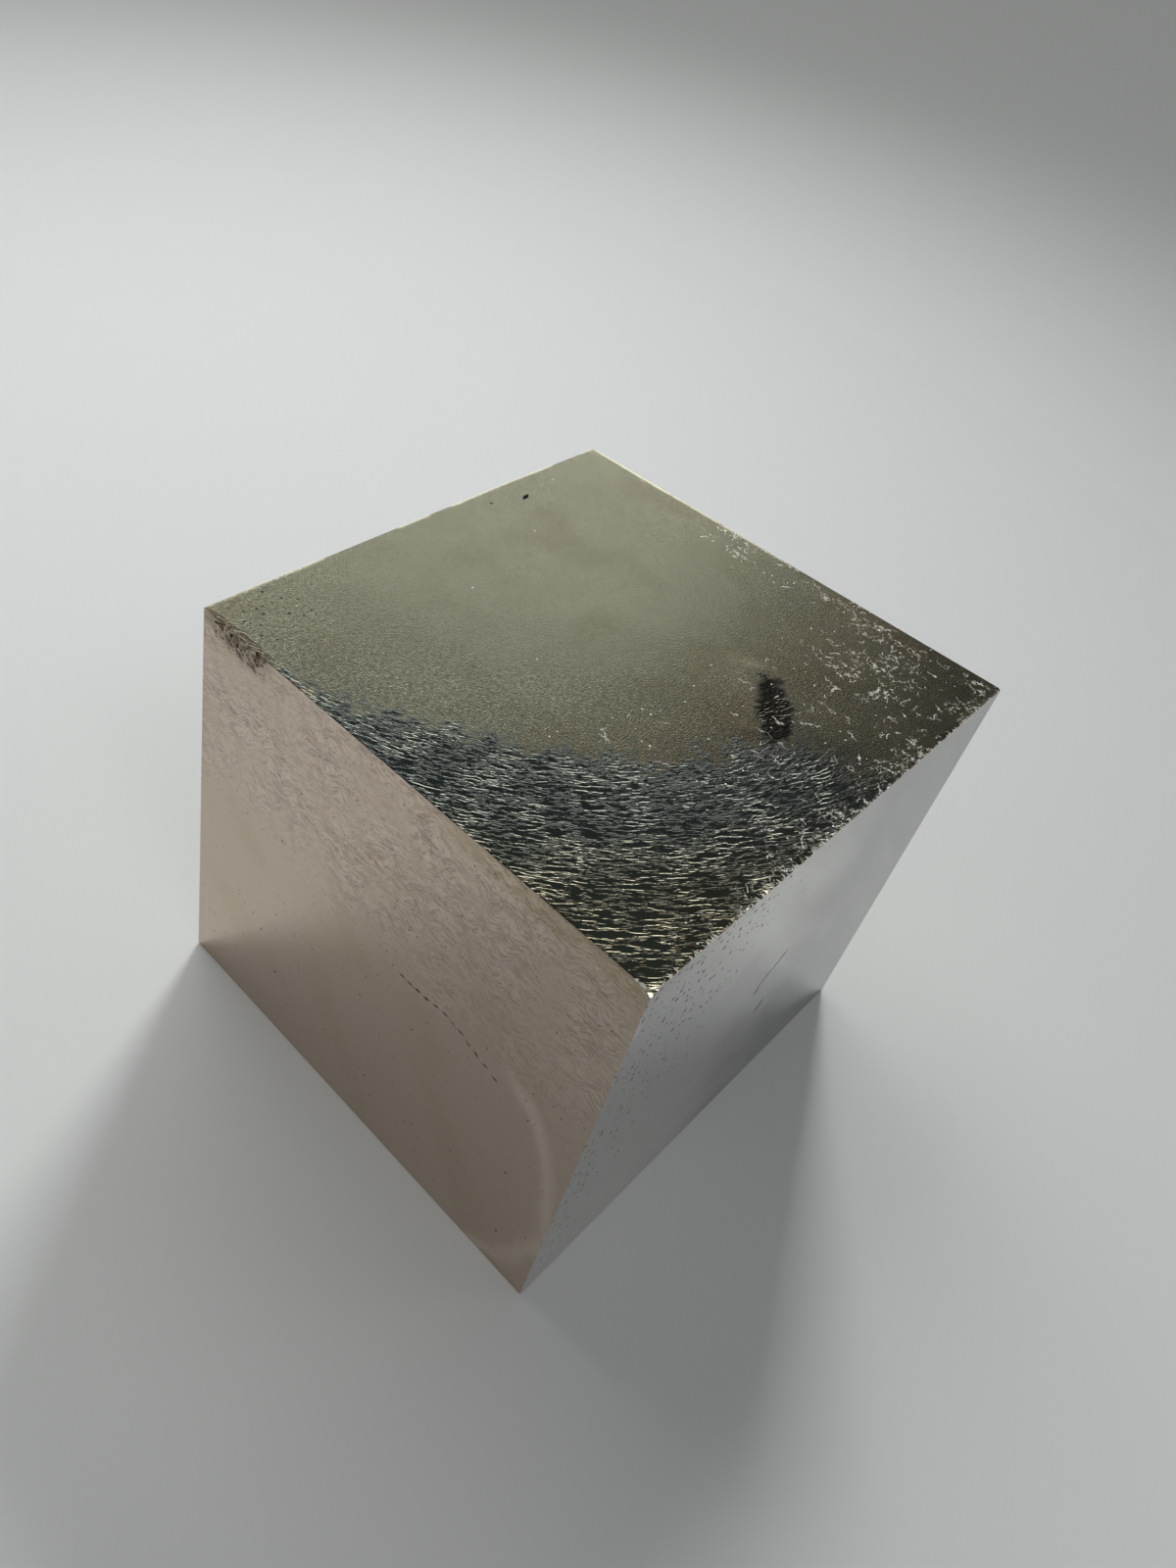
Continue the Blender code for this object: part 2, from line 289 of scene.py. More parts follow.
@dataclass(frozen=True)
class FaceRelief:
    """What one face's surface does: broad swells, growth steps where they are strong, and ridges."""

    side: Side
    swell: float
    swell_size: float
    steps: Steps
    strength: Callable[[np.ndarray, np.ndarray], np.ndarray]
    seed: int
    ridges: tuple[Ridge, ...] = ()

    def at(self, u: np.ndarray, v: np.ndarray) -> np.ndarray:
        """Height of the whole relief.

        Args:
            u: Place across the face, from its middle.
            v: Place up the face, from its lower edge.

        Returns:
            Heights around zero.
        """
        broad = lattice_noise(u / self.swell_size, v / self.swell_size, self.seed)
        fine = lattice_noise(u / self.swell_size * 2.3, v / self.swell_size * 2.3, self.seed + 5)
        height = self.swell * (broad + 0.35 * fine) + self.steps.at(u, v) * self.strength(u, v)
        for ridge in self.ridges:
            height = height + ridge.at(u, v)
        return height


@dataclass
class Carving:
    """Closed shapes that are taken off the crystal, gathered in one mesh."""

    middle: dict[Side, Vector]
    seed: int = 23
    crack_depth: float = 0.16
    crack_pitch: float = 0.55

    def __post_init__(self) -> None:
        """Start with an empty mesh and a seeded draw."""
        self.mesh = bmesh.new()
        self.recess = self.mesh.faces.layers.float.new(RECESS)
        self.draw = random.Random(self.seed)

    def spindle(self, shape: Matrix, recess: float) -> None:
        """Add a double pyramid.

        Args:
            shape: Where it goes and how it is turned and stretched.
            recess: How its cut looks.
        """
        made = bmesh.ops.create_uvsphere(self.mesh, u_segments=4, v_segments=2, radius=1.0)
        bmesh.ops.transform(self.mesh, matrix=shape, verts=made["verts"])
        for face in {face for vert in made["verts"] for face in vert.link_faces}:
            face[self.recess] = recess

    def pit(self, side: Side, u: float, v: float, size: Triple, turn: float, recess: float = 1.0) -> None:
        """A four-sided pit.

        Args:
            side: The face that it sits in.
            u: Place across the face from its middle.
            v: Place up the face from its middle.
            size: Length, width and depth.
            turn: Angle of its length from the face's across direction, in degrees.
            recess: How dark its faces are painted as shade in the pit, and how rough they are.
        """
        depth = size[2] / 0.75
        axes = Matrix((side.across, side.upward, side.outward)).transposed()
        spin = Matrix.Rotation(math.radians(turn), 3, "Z")
        shape = axes @ spin @ Matrix.Diagonal(Vector((size[0] / 2, size[1] / 2, depth)))
        place = self.middle[side] + side.across * u + side.upward * v + side.outward * depth * 0.25
        self.spindle(Matrix.Translation(place) @ shape.to_4x4(), recess)

    def crack(self, side: Side, route: Iterable[Pair], width: float, length: float = 0.75) -> None:
        """A crooked hairline of slim pits.

        Args:
            side: The face that it crosses.
            route: The points that it follows, from the face's middle.
            width: Middling width of a pit.
            length: Length of a pit.
        """
        points = [Vector(point) for point in route]
        for start, end in zip(points, points[1:]):
            count = max(1, round((end - start).length / self.crack_pitch))
            bearing = math.degrees(math.atan2(end.y - start.y, end.x - start.x))
            for step in range(count):
                place = start.lerp(end, (step + 0.5) / count)
                heading = bearing + self.draw.uniform(-22, 22)
                drift = self.draw.uniform(-0.05, 0.05)
                size = (length, width * self.draw.uniform(0.7, 1.5), self.crack_depth)
                self.pit(side, place.x, place.y + drift, size, heading)

    def scatter(self, side: Side, across: Pair, upward: Pair, count: int, size: Pair) -> None:
        """Small pits spread over a rectangle of a face.

        Args:
            side: The face.
            across: Lowest and highest place across it, from its middle.
            upward: Lowest and highest place up it, from its middle.
            count: How many.
            size: Smallest and largest length.
        """
        for _ in range(count):
            long = self.draw.uniform(*size)
            wide = long * self.draw.uniform(0.35, 0.9)
            u, v = self.draw.uniform(*across), self.draw.uniform(*upward)
            self.pit(side, u, v, (long, wide, wide * 0.5 + 0.06), self.draw.uniform(0, 180))

    def bite(self, place: Vector, reach: float, recess: float = 0.1) -> None:
        """A splinter broken out of an edge: a double pyramid turned at random.

        Args:
            place: Its middle, on the edge.
            reach: How far it goes in.
            recess: How its cut looks.
        """
        axis = Vector((self.draw.random(), self.draw.random(), 1.0))
        spin = Matrix.Rotation(self.draw.uniform(0, math.tau), 4, axis)
        size = Vector((1.0, self.draw.uniform(0.6, 1.3), self.draw.uniform(0.6, 1.0))) * reach
        self.spindle(Matrix.Translation(place) @ spin @ Matrix.Diagonal(size).to_4x4(), recess)

    def notches(self, start: Vector, end: Vector, count: int, depth: Pair) -> None:
        """Slim notches square to an upright face's top edge, like the teeth of a saw, with a painted white
        glint on their faces.

        Args:
            start: Where the row starts.
            end: Where it ends.
            count: How many.
            depth: Smallest and largest reach into the crystal.
        """
        for step in range(count):
            place = start.lerp(end, (step + self.draw.uniform(0.1, 0.9)) / count)
            spin = Matrix.Rotation(math.radians(self.draw.uniform(-24, 24)), 4, "Z")
            lean = Matrix.Rotation(math.radians(self.draw.uniform(-18, 18)), 4, "X")
            width = self.draw.uniform(0.06, 0.11)
            size = Vector((self.draw.uniform(*depth), width, width * self.draw.uniform(0.7, 1.0)))
            shape = Matrix.Translation(place) @ spin @ lean @ Matrix.Diagonal(size).to_4x4()
            # A negative recess gives the notch faces a painted white glint
            self.spindle(shape, -self.draw.random())

    def worn_edge(self, start: Vector, end: Vector, count: int, drop: float, reach: Pair) -> None:
        """Splinters crowded along and just below a stretch of edge.

        Args:
            start: Where the stretch starts.
            end: Where it ends.
            count: How many splinters.
            drop: How far below the edge they reach.
            reach: Smallest and largest size.
        """
        for _ in range(count):
            place = start.lerp(end, self.draw.random())
            fallen = self.draw.random() ** 1.6
            place.z -= drop * fallen
            self.bite(place, self.draw.uniform(*reach) * (1.0 - 0.55 * fallen))

    def bites_along(self, start: Vector, end: Vector, count: int, reach: Pair, recess: float = 0.1) -> None:
        """Splinters spread along an edge.

        Args:
            start: Where the row starts.
            end: Where it ends.
            count: How many.
            reach: Smallest and largest size.
            recess: How their cuts look.
        """
        for step in range(count):
            share = (step + self.draw.uniform(0.15, 0.85)) / count
            self.bite(start.lerp(end, share), self.draw.uniform(*reach), recess)

    def as_object(self, name: str) -> bpy.types.Object:
        """Turn the gathered shapes into an object.

        Args:
            name: The object's name.

        Returns:
            The object, in metres and in no collection.
        """
        bmesh.ops.recalc_face_normals(self.mesh, faces=self.mesh.faces[:])
        bmesh.ops.scale(self.mesh, vec=(MM, MM, MM), verts=self.mesh.verts)
        data = bpy.data.meshes.new(name)
        self.mesh.to_mesh(data)
        self.mesh.free()
        return bpy.data.objects.new(name, data)


@dataclass
class PyriteCube:
    """The crystal: a finely divided block that gets leaning faces, relief, sharp edges and chips."""

    width: float = 25.84
    length: float = 27.00
    height: float = 24.22
    cells: int = 62
    edge_width: float = 0.035
    edge_fade: float = 0.16
    bend_v: float = 5.8
    bend_angle: float = 0.9
    trim: float = 0.9999
    smooth_angle: float = 24.0

    def middle(self, side: Side) -> Vector:
        """The middle of a face.

        Args:
            side: The face.

        Returns:
            The point, in millimetres.
        """
        half = Vector((self.width / 2, self.length / 2, self.height / 2))
        reach = Vector([a * b for a, b in zip(side.axis, half)])
        return Vector((0, 0, self.height / 2)) + reach

    def corner(self, *sides: Side) -> Vector:
        """The point where three leaning faces meet."""
        rows = Matrix([side.outward for side in sides])
        return rows.inverted() @ Vector([side.outward.dot(self.middle(side)) for side in sides])

    def ripple_zone(self, u: np.ndarray, v: np.ndarray) -> np.ndarray:
        """The stepped part of the top: far from the growth centre, with a ragged limit.

        Args:
            u: Place across the top, from its middle.
            v: Place up the top, from its lower edge.

        Returns:
            0 outside it, 1 inside it.
        """
        reach = from_growth_centre(u, v)
        reach = reach + 0.9 * lattice_noise(u / 1.7, v / 1.7, 5) + 1.0 * lattice_noise(u / 0.5, v / 0.5, 6)
        front = smooth_ramp(17.5, 14.5, v + 1.2 * lattice_noise(u / 2.0, v / 2.0, 7))
        return smooth_ramp(22.5, 23.9, reach) * front

    def ripple_strength(self, u: np.ndarray, v: np.ndarray) -> np.ndarray:
        """How strong the top's steps are: patchy in the stepped part and weaker at its right rim.

        Args:
            u: Place across the top, from its middle.
            v: Place up the top, from its lower edge.

        Returns:
            Factors on the height of the steps.
        """
        rim = 1.0 - 0.55 * smooth_ramp(10.7, 11.2, u + 0.3 * lattice_noise(u, v / 1.5, 9))
        calm = np.clip(0.85 + 0.8 * lattice_noise(u / 2.2, v / 2.2, 10), 0.2, 1.3)
        return 0.02 + 0.98 * self.ripple_zone(u, v) * rim * calm

    def stria_strength(self, u: np.ndarray, v: np.ndarray) -> np.ndarray:
        """How strong the front's level steps are: full in its upper part, weak in its lower half."""
        lift = smooth_ramp(12.0, 17.0, v + 2.0 * lattice_noise(u / 3.0, v / 3.0, 8))
        return 0.10 + 0.90 * lift * np.clip(0.75 + 0.6 * lattice_noise(u / 2.6, v / 2.6, 12), 0.2, 1.0)

    def even_strength(self, u: np.ndarray, v: np.ndarray) -> np.ndarray:
        """Full strength everywhere."""
        return np.ones_like(u)

    def reliefs(self) -> list[FaceRelief]:
        """Describe the relief of every face but the one that the crystal lies on.

        Returns:
            One relief for each face.
        """
        arcs = Steps(0.016, 0.52, 1.45, 11, centre=GROWTH_CENTRE, riser=0.19, wander=1.8)
        level = Steps(0.016, 0.37, 0.9, 31, riser=0.35, wander=1.5)
        faint = Steps(0.004, 0.9, 3.0, 51, riser=0.5)
        coarse = Steps(0.012, 1.3, 4.0, 61, riser=0.5)
        coarser = Steps(0.012, 1.4, 4.0, 81, riser=0.5)
        hook = Ridge(HOOK_ROUTE, 0.030, 0.6, 1.0)
        fan = Ridge(FAN_ROUTE, 0.020, 0.42, 0.42)
        return [
            FaceRelief(Side.TOP, 0.020, 7.0, arcs, self.ripple_strength, 3, (hook,)),
            FaceRelief(Side.FRONT, 0.018, 6.0, level, self.stria_strength, 13, (fan,)),
            FaceRelief(Side.RIGHT, 0.014, 6.0, faint, self.even_strength, 23),
            FaceRelief(Side.BACK, 0.020, 7.0, coarse, self.even_strength, 33),
            FaceRelief(Side.LEFT, 0.020, 7.0, coarser, self.even_strength, 43),
        ]

    def shown(self, place: Vector) -> bool:
        """True on the unit cube's top and front."""
        return place.z > UNIT_FACE or place.y < -UNIT_FACE

    def rippled(self, place: Vector) -> bool:
        """True in the strongly stepped part of the unit cube's top, at its hook and round its pit."""
        u, v = place.x * self.width, (place.y + 0.5) * self.length
        stepped = from_growth_centre(u, v) > 22.2 and v < 18.5
        return place.z > UNIT_FACE and (stepped or math.hypot(u + 11.4, v - 19.4) < 1.2)

    def striated(self, place: Vector) -> bool:
        """True on the upper half of the unit cube's front."""
        return place.y < -UNIT_FACE and place.z > -0.02

    def block(self) -> bmesh.types.BMesh:
        """Divide a unit cube into cells, finer on the faces and patches that carry fine relief.

        Returns:
            The divided cube.
        """
        mesh = bmesh.new()
        mesh.faces.layers.float.new(RECESS)
        bmesh.ops.create_cube(mesh, size=1.0)
        bmesh.ops.subdivide_edges(mesh, edges=mesh.edges[:], cuts=self.cells - 1, use_grid_fill=True)
        self.refine(mesh, self.shown, Vector((1, 1, 1)))
        self.refine(mesh, self.rippled, Vector((1, 1, 1)))
        self.refine(mesh, self.striated, Vector((0, 0, 1)))
        return mesh

    def refine(self, mesh: bmesh.types.BMesh, wanted: Callable[[Vector], bool], along: Vector) -> None:
        """Halve some of the cells.

        Args:
            mesh: The divided cube.
            wanted: Says whether the cell with a given middle is halved.
            along: 1 for each axis whose edges are cut, 0 for the others.
        """
        picked = [face for face in mesh.faces if wanted(face.calc_center_median())]
        edges = {edge for face in picked for edge in face.edges}
        lengthwise = []
        for edge in edges:
            run = edge.verts[1].co - edge.verts[0].co
            if sum(abs(part) * axis for part, axis in zip(run, along)) > 1e-5:
                lengthwise.append(edge)
        bmesh.ops.subdivide_edges(mesh, edges=lengthwise, cuts=1, use_grid_fill=True)

    def place_vertices(self, mesh: bmesh.types.BMesh) -> None:
        """Map the unit cube to the leaning corners, in millimetres, and bevel its edges.

        Args:
            mesh: The divided unit cube.
        """
        share = np.array([vert.co for vert in mesh.verts]) + 0.5
        placed = np.zeros_like(share)
        for z_side in (Side.BOTTOM, Side.TOP):
            for y_side in (Side.FRONT, Side.BACK):
                for x_side in (Side.LEFT, Side.RIGHT):
                    weight = np.ones(len(share))
                    for column, side in enumerate((x_side, y_side, z_side)):
                        high = side.axis[column] > 0
                        weight *= share[:, column] if high else 1 - share[:, column]
                    placed += weight[:, None] * np.array(self.corner(z_side, y_side, x_side))
        offset = placed - np.array(self.middle(Side.LEFT))
        on_left = np.abs(offset @ np.array(Side.LEFT.outward)) < FACE_REACH
        bent = self.bend(offset @ np.array(Side.LEFT.across)) * on_left
        placed -= bent[:, None] * np.array(Side.LEFT.outward)
        for vert, place in zip(mesh.verts, placed):
            vert.co = place
        mesh.normal_update()
        sharp = [edge for edge in mesh.edges if edge.calc_face_angle(0.0) > 1.0]
        bmesh.ops.bevel(
            mesh, geom=sharp, offset=self.edge_width, segments=2, profile=0.5, affect="EDGES", material=-1
        )

    def bend(self, u: np.ndarray) -> np.ndarray:
        """How far the left face's back part bends inward."""
        return np.clip(-u - self.bend_v, 0, None) * math.tan(math.radians(self.bend_angle))

    def raise_relief(self, mesh: bmesh.types.BMesh) -> None:
        """Move each face's vertices along its outward axis by its relief, less and less near the edges.

        The relief of the upright faces only goes inward, so that the crystal stays inside its box.

        Args:
            mesh: The crystal, in millimetres.
        """
        mesh.verts.ensure_lookup_table()
        place = np.array([vert.co for vert in mesh.verts])
        for relief in self.reliefs():
            side = relief.side
            offset = place - np.array(self.middle(side))
            depth = offset @ np.array(side.outward)
            if side is Side.LEFT:
                depth = depth + self.bend(offset @ np.array(side.across))
            picked = np.nonzero(np.abs(depth) < FACE_REACH)[0]
            u = offset[picked] @ np.array(side.across)
            v = offset[picked] @ np.array(side.upward)
            half_v = self.height / 2 if side is not Side.TOP else self.length / 2
            half_u = self.length / 2 if side in (Side.RIGHT, Side.LEFT) else self.width / 2
            edge = np.minimum(half_u - np.abs(u), half_v - np.abs(v))
            fade = smooth_ramp(self.edge_width, self.edge_fade, edge)
            raised = relief.at(u, v + half_v)
            moved = (raised if side is Side.TOP else raised - raised.max()) * fade
            for index, height in zip(picked, moved):
                mesh.verts[index].co += side.outward * float(height)

    def carving(self) -> Carving:
        """Gather everything that is chipped, cracked or pitted.

        Returns:
            The shapes to take off.
        """
        carving = Carving({side: self.middle(side) for side in Side})
        near = self.corner(Side.TOP, Side.FRONT, Side.RIGHT)
        left = self.corner(Side.TOP, Side.FRONT, Side.LEFT)
        far = self.corner(Side.TOP, Side.BACK, Side.RIGHT)
        back = self.corner(Side.TOP, Side.BACK, Side.LEFT)
        low_near = self.corner(Side.BOTTOM, Side.FRONT, Side.RIGHT)
        low_left = self.corner(Side.BOTTOM, Side.FRONT, Side.LEFT)
        low_far = self.corner(Side.BOTTOM, Side.BACK, Side.RIGHT)
        carving.notches(near.lerp(far, 0.02), near.lerp(far, 0.42), 54, (0.12, 0.30))
        carving.notches(near.lerp(far, 0.42), near.lerp(far, 0.99), 80, (0.06, 0.14))
        carving.bites_along(near.lerp(far, 0.02), near.lerp(far, 0.98), 26, (0.04, 0.10))
        carving.worn_edge(left.lerp(near, 0.035), left.lerp(near, 0.175), 34, 1.10, (0.10, 0.24))
        # Painted highlight: pale, less metallic splinters at the near corner stand in for its bright glint
        carving.bites_along(near.lerp(left, 0.030), near, 6, (0.08, 0.20), -0.9)
        carving.bites_along(near, near.lerp(far, 0.030), 6, (0.08, 0.20), -0.9)
        for u, drop, long, tall, turn in WORN_PATCHES:
            dullness = 0.16 + 0.2 * (long - 1.1)
            carving.pit(Side.FRONT, u, self.height / 2 - drop, (long, tall, 0.16), turn, dullness)
        carving.bites_along(left.lerp(near, 0.18), near, 26, (0.02, 0.06))
        carving.bites_along(near, low_near, 22, (0.03, 0.09))
        carving.bites_along(back, far, 16, (0.03, 0.10))
        carving.bites_along(far, low_far, 12, (0.04, 0.14))
        carving.bites_along(low_left, low_near, 14, (0.03, 0.12))
        carving.bites_along(left, low_left, 10, (0.03, 0.10))
        carving.pit(Side.TOP, -11.35, 6.1, (1.1, 0.42, 0.16), 110)
        carving.pit(Side.TOP, -11.9, 4.0, (0.35, 0.25, 0.10), 60)
        for step in range(6):
            carving.pit(Side.TOP, -12.2 + 0.6 * step, -12.5 + 0.4 * (step % 2), (0.22, 0.16, 0.06), 40 * step)
        carving.crack(Side.RIGHT, LONG_CRACK, 0.24, 1.25)
        carving.crack(Side.RIGHT, SHORT_CRACK, 0.24, 1.0)
        carving.crack(Side.FRONT, SEAM_ROUTE, 0.16)
        carving.scatter(Side.FRONT, (-12.4, 12.4), (-11.6, 3.5), 30, (0.10, 0.30))
        carving.scatter(Side.RIGHT, (-13.0, 13.0), (-11.6, 11.6), 40, (0.08, 0.26))
        carving.scatter(Side.RIGHT, (-13.2, -4.5), (1.0, 11.8), 80, (0.12, 0.32))
        carving.scatter(Side.BACK, (-12.4, 12.4), (-11.6, 11.6), 24, (0.12, 0.36))
        carving.scatter(Side.LEFT, (-12.9, 12.9), (-11.6, 11.6), 24, (0.12, 0.36))
        return carving

    def build(self) -> bpy.types.Object:
        """Make the finished crystal.

        Returns:
            One closed mesh, in metres, with its patterns for the finish.
        """
        mesh = self.block()
        self.place_vertices(mesh)
        self.raise_relief(mesh)
        for sides, tip, depth in (
            ((Side.TOP, Side.FRONT, Side.RIGHT), (0.55, -0.50, 1.0), 0.22),
            ((Side.TOP, Side.BACK, Side.LEFT), (-0.9, 0.8, 1.0), 0.16),
            ((Side.TOP, Side.BACK, Side.RIGHT), (0.8, 0.9, 0.7), 0.10),
        ):
            outward = Vector(tip).normalized()
            self.shave(mesh, self.corner(*sides) - outward * depth, outward)
        bmesh.ops.scale(mesh, vec=[MM * self.trim] * 3, verts=mesh.verts)
        data = bpy.data.meshes.new("pyrite_crystal")
        mesh.to_mesh(data)
        mesh.free()
        piece = bpy.data.objects.new("pyrite_crystal", data)
        bpy.context.scene.collection.objects.link(piece)
        self.carve(piece, self.carving().as_object("bites"))
        self.paint(piece.data)
        piece.data.shade_smooth()
        piece.data.set_sharp_from_angle(angle=math.radians(self.smooth_angle))
        return piece

    def shave(self, mesh: bmesh.types.BMesh, point: Vector, outward: Vector) -> None:
        """Cut a corner off along a plane and close the cut with one flat face.

        Args:
            mesh: The crystal, in millimetres.
            point: A point of the plane.
            outward: The plane's normal, on the side that goes.
        """
        whole = mesh.verts[:] + mesh.edges[:] + mesh.faces[:]
        cut = bmesh.ops.bisect_plane(mesh, geom=whole, plane_co=point, plane_no=outward, clear_outer=True)
        rim = [item for item in cut["geom_cut"] if isinstance(item, bmesh.types.BMEdge)]
        bmesh.ops.contextual_create(mesh, geom=rim)

    def carve(self, piece: bpy.types.Object, tool: bpy.types.Object) -> None:
        """Take a tool's shapes off the piece for good and remove the tool.

        Args:
            piece: The crystal.
            tool: The shapes to take off.
        """
        bpy.context.scene.collection.objects.link(tool)
        boolean = piece.modifiers.new("carve", "BOOLEAN")
        boolean.operation = "DIFFERENCE"
        boolean.solver = "EXACT"
        boolean.use_self = True
        boolean.object = tool
        depsgraph = bpy.context.evaluated_depsgraph_get()
        carved = bpy.data.meshes.new_from_object(piece.evaluated_get(depsgraph))
        piece.modifiers.clear()
        old, piece.data = piece.data, carved
        bpy.data.meshes.remove(old)
        bpy.data.objects.remove(tool)
        carved.name = piece.name

    def hook_dark_reflection(self, x: np.ndarray, y: np.ndarray, cloud: np.ndarray, grit: np.ndarray) -> np.ndarray:
        """The dark ragged patch on the top: a painted dark reflection in its polished part.

        Args:
            x: Places along the width.
            y: Places along the length.
            cloud: Slow noise.
            grit: Quick noise.

        Returns:
            0 outside it, 1 inside it.
        """
        dx, dy = x - HOOK_MIDDLE[0], y - HOOK_MIDDLE[1]
        along = dx * math.cos(HOOK_TURN) + dy * math.sin(HOOK_TURN)
        across = dy * math.cos(HOOK_TURN) - dx * math.sin(HOOK_TURN)
        return smooth_ramp(1.3, 0.7, (along / 2.3) ** 2 + (across / 0.75) ** 2 + 0.5 * cloud + 0.6 * grit)

    def mark_crowd(self, x: np.ndarray, y: np.ndarray, cloud: np.ndarray) -> np.ndarray:
        """How close together the pale marks of the top are.

        Args:
            x: Places along the width.
            y: Places along the length.
            cloud: Slow noise.

        Returns:
            From almost none at 0 to crowded above 0.5.
        """
        group = ((x - MARK_GROUP[0]) / 2.9) ** 2 + ((y - MARK_GROUP[1]) / 3.4) ** 2
        crowd = smooth_ramp(2.5, 9.0, x) * smooth_ramp(-4.0, 3.0, y) * 0.30
        crowd = crowd + 0.28 * smooth_ramp(1.6, 0.0, group)
        crowd = np.maximum(crowd, 0.5 * smooth_ramp(10.4, 12.2, x) * smooth_ramp(-12.8, -8.0, y))
        crowd = np.maximum(crowd, 0.40 * smooth_ramp(10.6, 11.6, y) * smooth_ramp(-5.5, -3.0, x))
        near_limit = smooth_ramp(17.0, 22.0, from_growth_centre(x, y + self.length / 2))
        crowd = np.maximum(crowd, 0.16 * near_limit * smooth_ramp(-6.0, 4.0, x) * smooth_ramp(-8.0, -3.0, y))
        patch = 1.0 + 0.8 * cloud + 0.9 * lattice_noise(x / 1.1, y / 1.1, 107)
        return crowd * np.clip(patch, 0.1, 2.0) + 0.01

    def scuffing(self, x: np.ndarray, z: np.ndarray, cloud: np.ndarray, grit: np.ndarray) -> np.ndarray:
        """The scuffed band of the front below the splintered stretch of its top edge.

        Args:
            x: Places along the width.
            z: Places up the height.
            cloud: Slow noise.
            grit: Quick noise.

        Returns:
            0 outside it, 1 inside it.
        """
        wear = smooth_ramp(-7.2, -9.2, x + 0.7 * cloud) * smooth_ramp(-13.0, -11.6, x + 0.3 * cloud)
        return wear * smooth_ramp(1.75, 0.75, self.height - z + 0.35 * grit + 0.3 * cloud)

    def paint(self, data: bpy.types.Mesh) -> None:
        """Store the finish's slow patterns in the vertices.

        Args:
            data: The finished mesh, in metres.
        """
        places = np.empty(len(data.vertices) * 3)
        data.vertices.foreach_get("co", places)
        x, y, z = places.reshape(-1, 3).T / MM
        v = y + self.length / 2
        skew_x, skew_y = x + z * 0.6, y + z * 0.7
        cloud = lattice_noise(skew_x / 2.4, skew_y / 2.4, 101) + 0.4 * lattice_noise(skew_x, skew_y, 102)
        grit = lattice_noise(skew_x / 0.4, skew_y / 0.4, 104)
        stain = smooth_ramp(0.0, 0.7, lattice_noise(skew_x / 4.0, skew_y / 4.0, 106) + 0.3 * cloud)
        patch = np.clip(0.75 + 0.7 * lattice_noise(x / 1.6, v / 1.6, 105), 0.2, 1.1)
        hook = self.hook_dark_reflection(x, y, cloud, grit)
        polish = np.maximum(self.ripple_zone(x, v), hook)
        ring = np.abs(np.hypot(x - 4.5, z - 6.5) - 8.3 + 0.4 * cloud)
        on_front = y < 0.5 - self.length / 2
        on_top = z > self.height - 1.0
        striated = on_front & (z < self.height - 0.1)
        patterns = {
            Paint.POLISH: polish,
            Paint.THREADS: np.where(striated, self.stria_strength(x, z), polish * patch),
            # Tarnish stain, plus a painted warm reflection on the top's right part
            Paint.WARMTH: 0.30 * stain + 0.75 * smooth_ramp(-1.0, 7.0, x) * on_top,
            Paint.CLOUD: cloud,
            Paint.DRIFT: 0.35 * lattice_noise(x / 0.9, z / 0.9, 103),
            Paint.FAN: smooth_ramp(0.75, 0.05, ring) * smooth_ramp(8.0, 9.5, x),
            Paint.CROWD: self.mark_crowd(x, y, cloud),
            # Where the top gets the hook's painted dark reflection
            Paint.HOOK: hook * on_top,
            Paint.WEAR: self.scuffing(x, z, cloud, grit) * on_front,
        }
        for paint, amounts in patterns.items():
            attribute = data.attributes.new(paint.value, "FLOAT", "POINT")
            attribute.data.foreach_set("value", amounts.astype(np.float32))


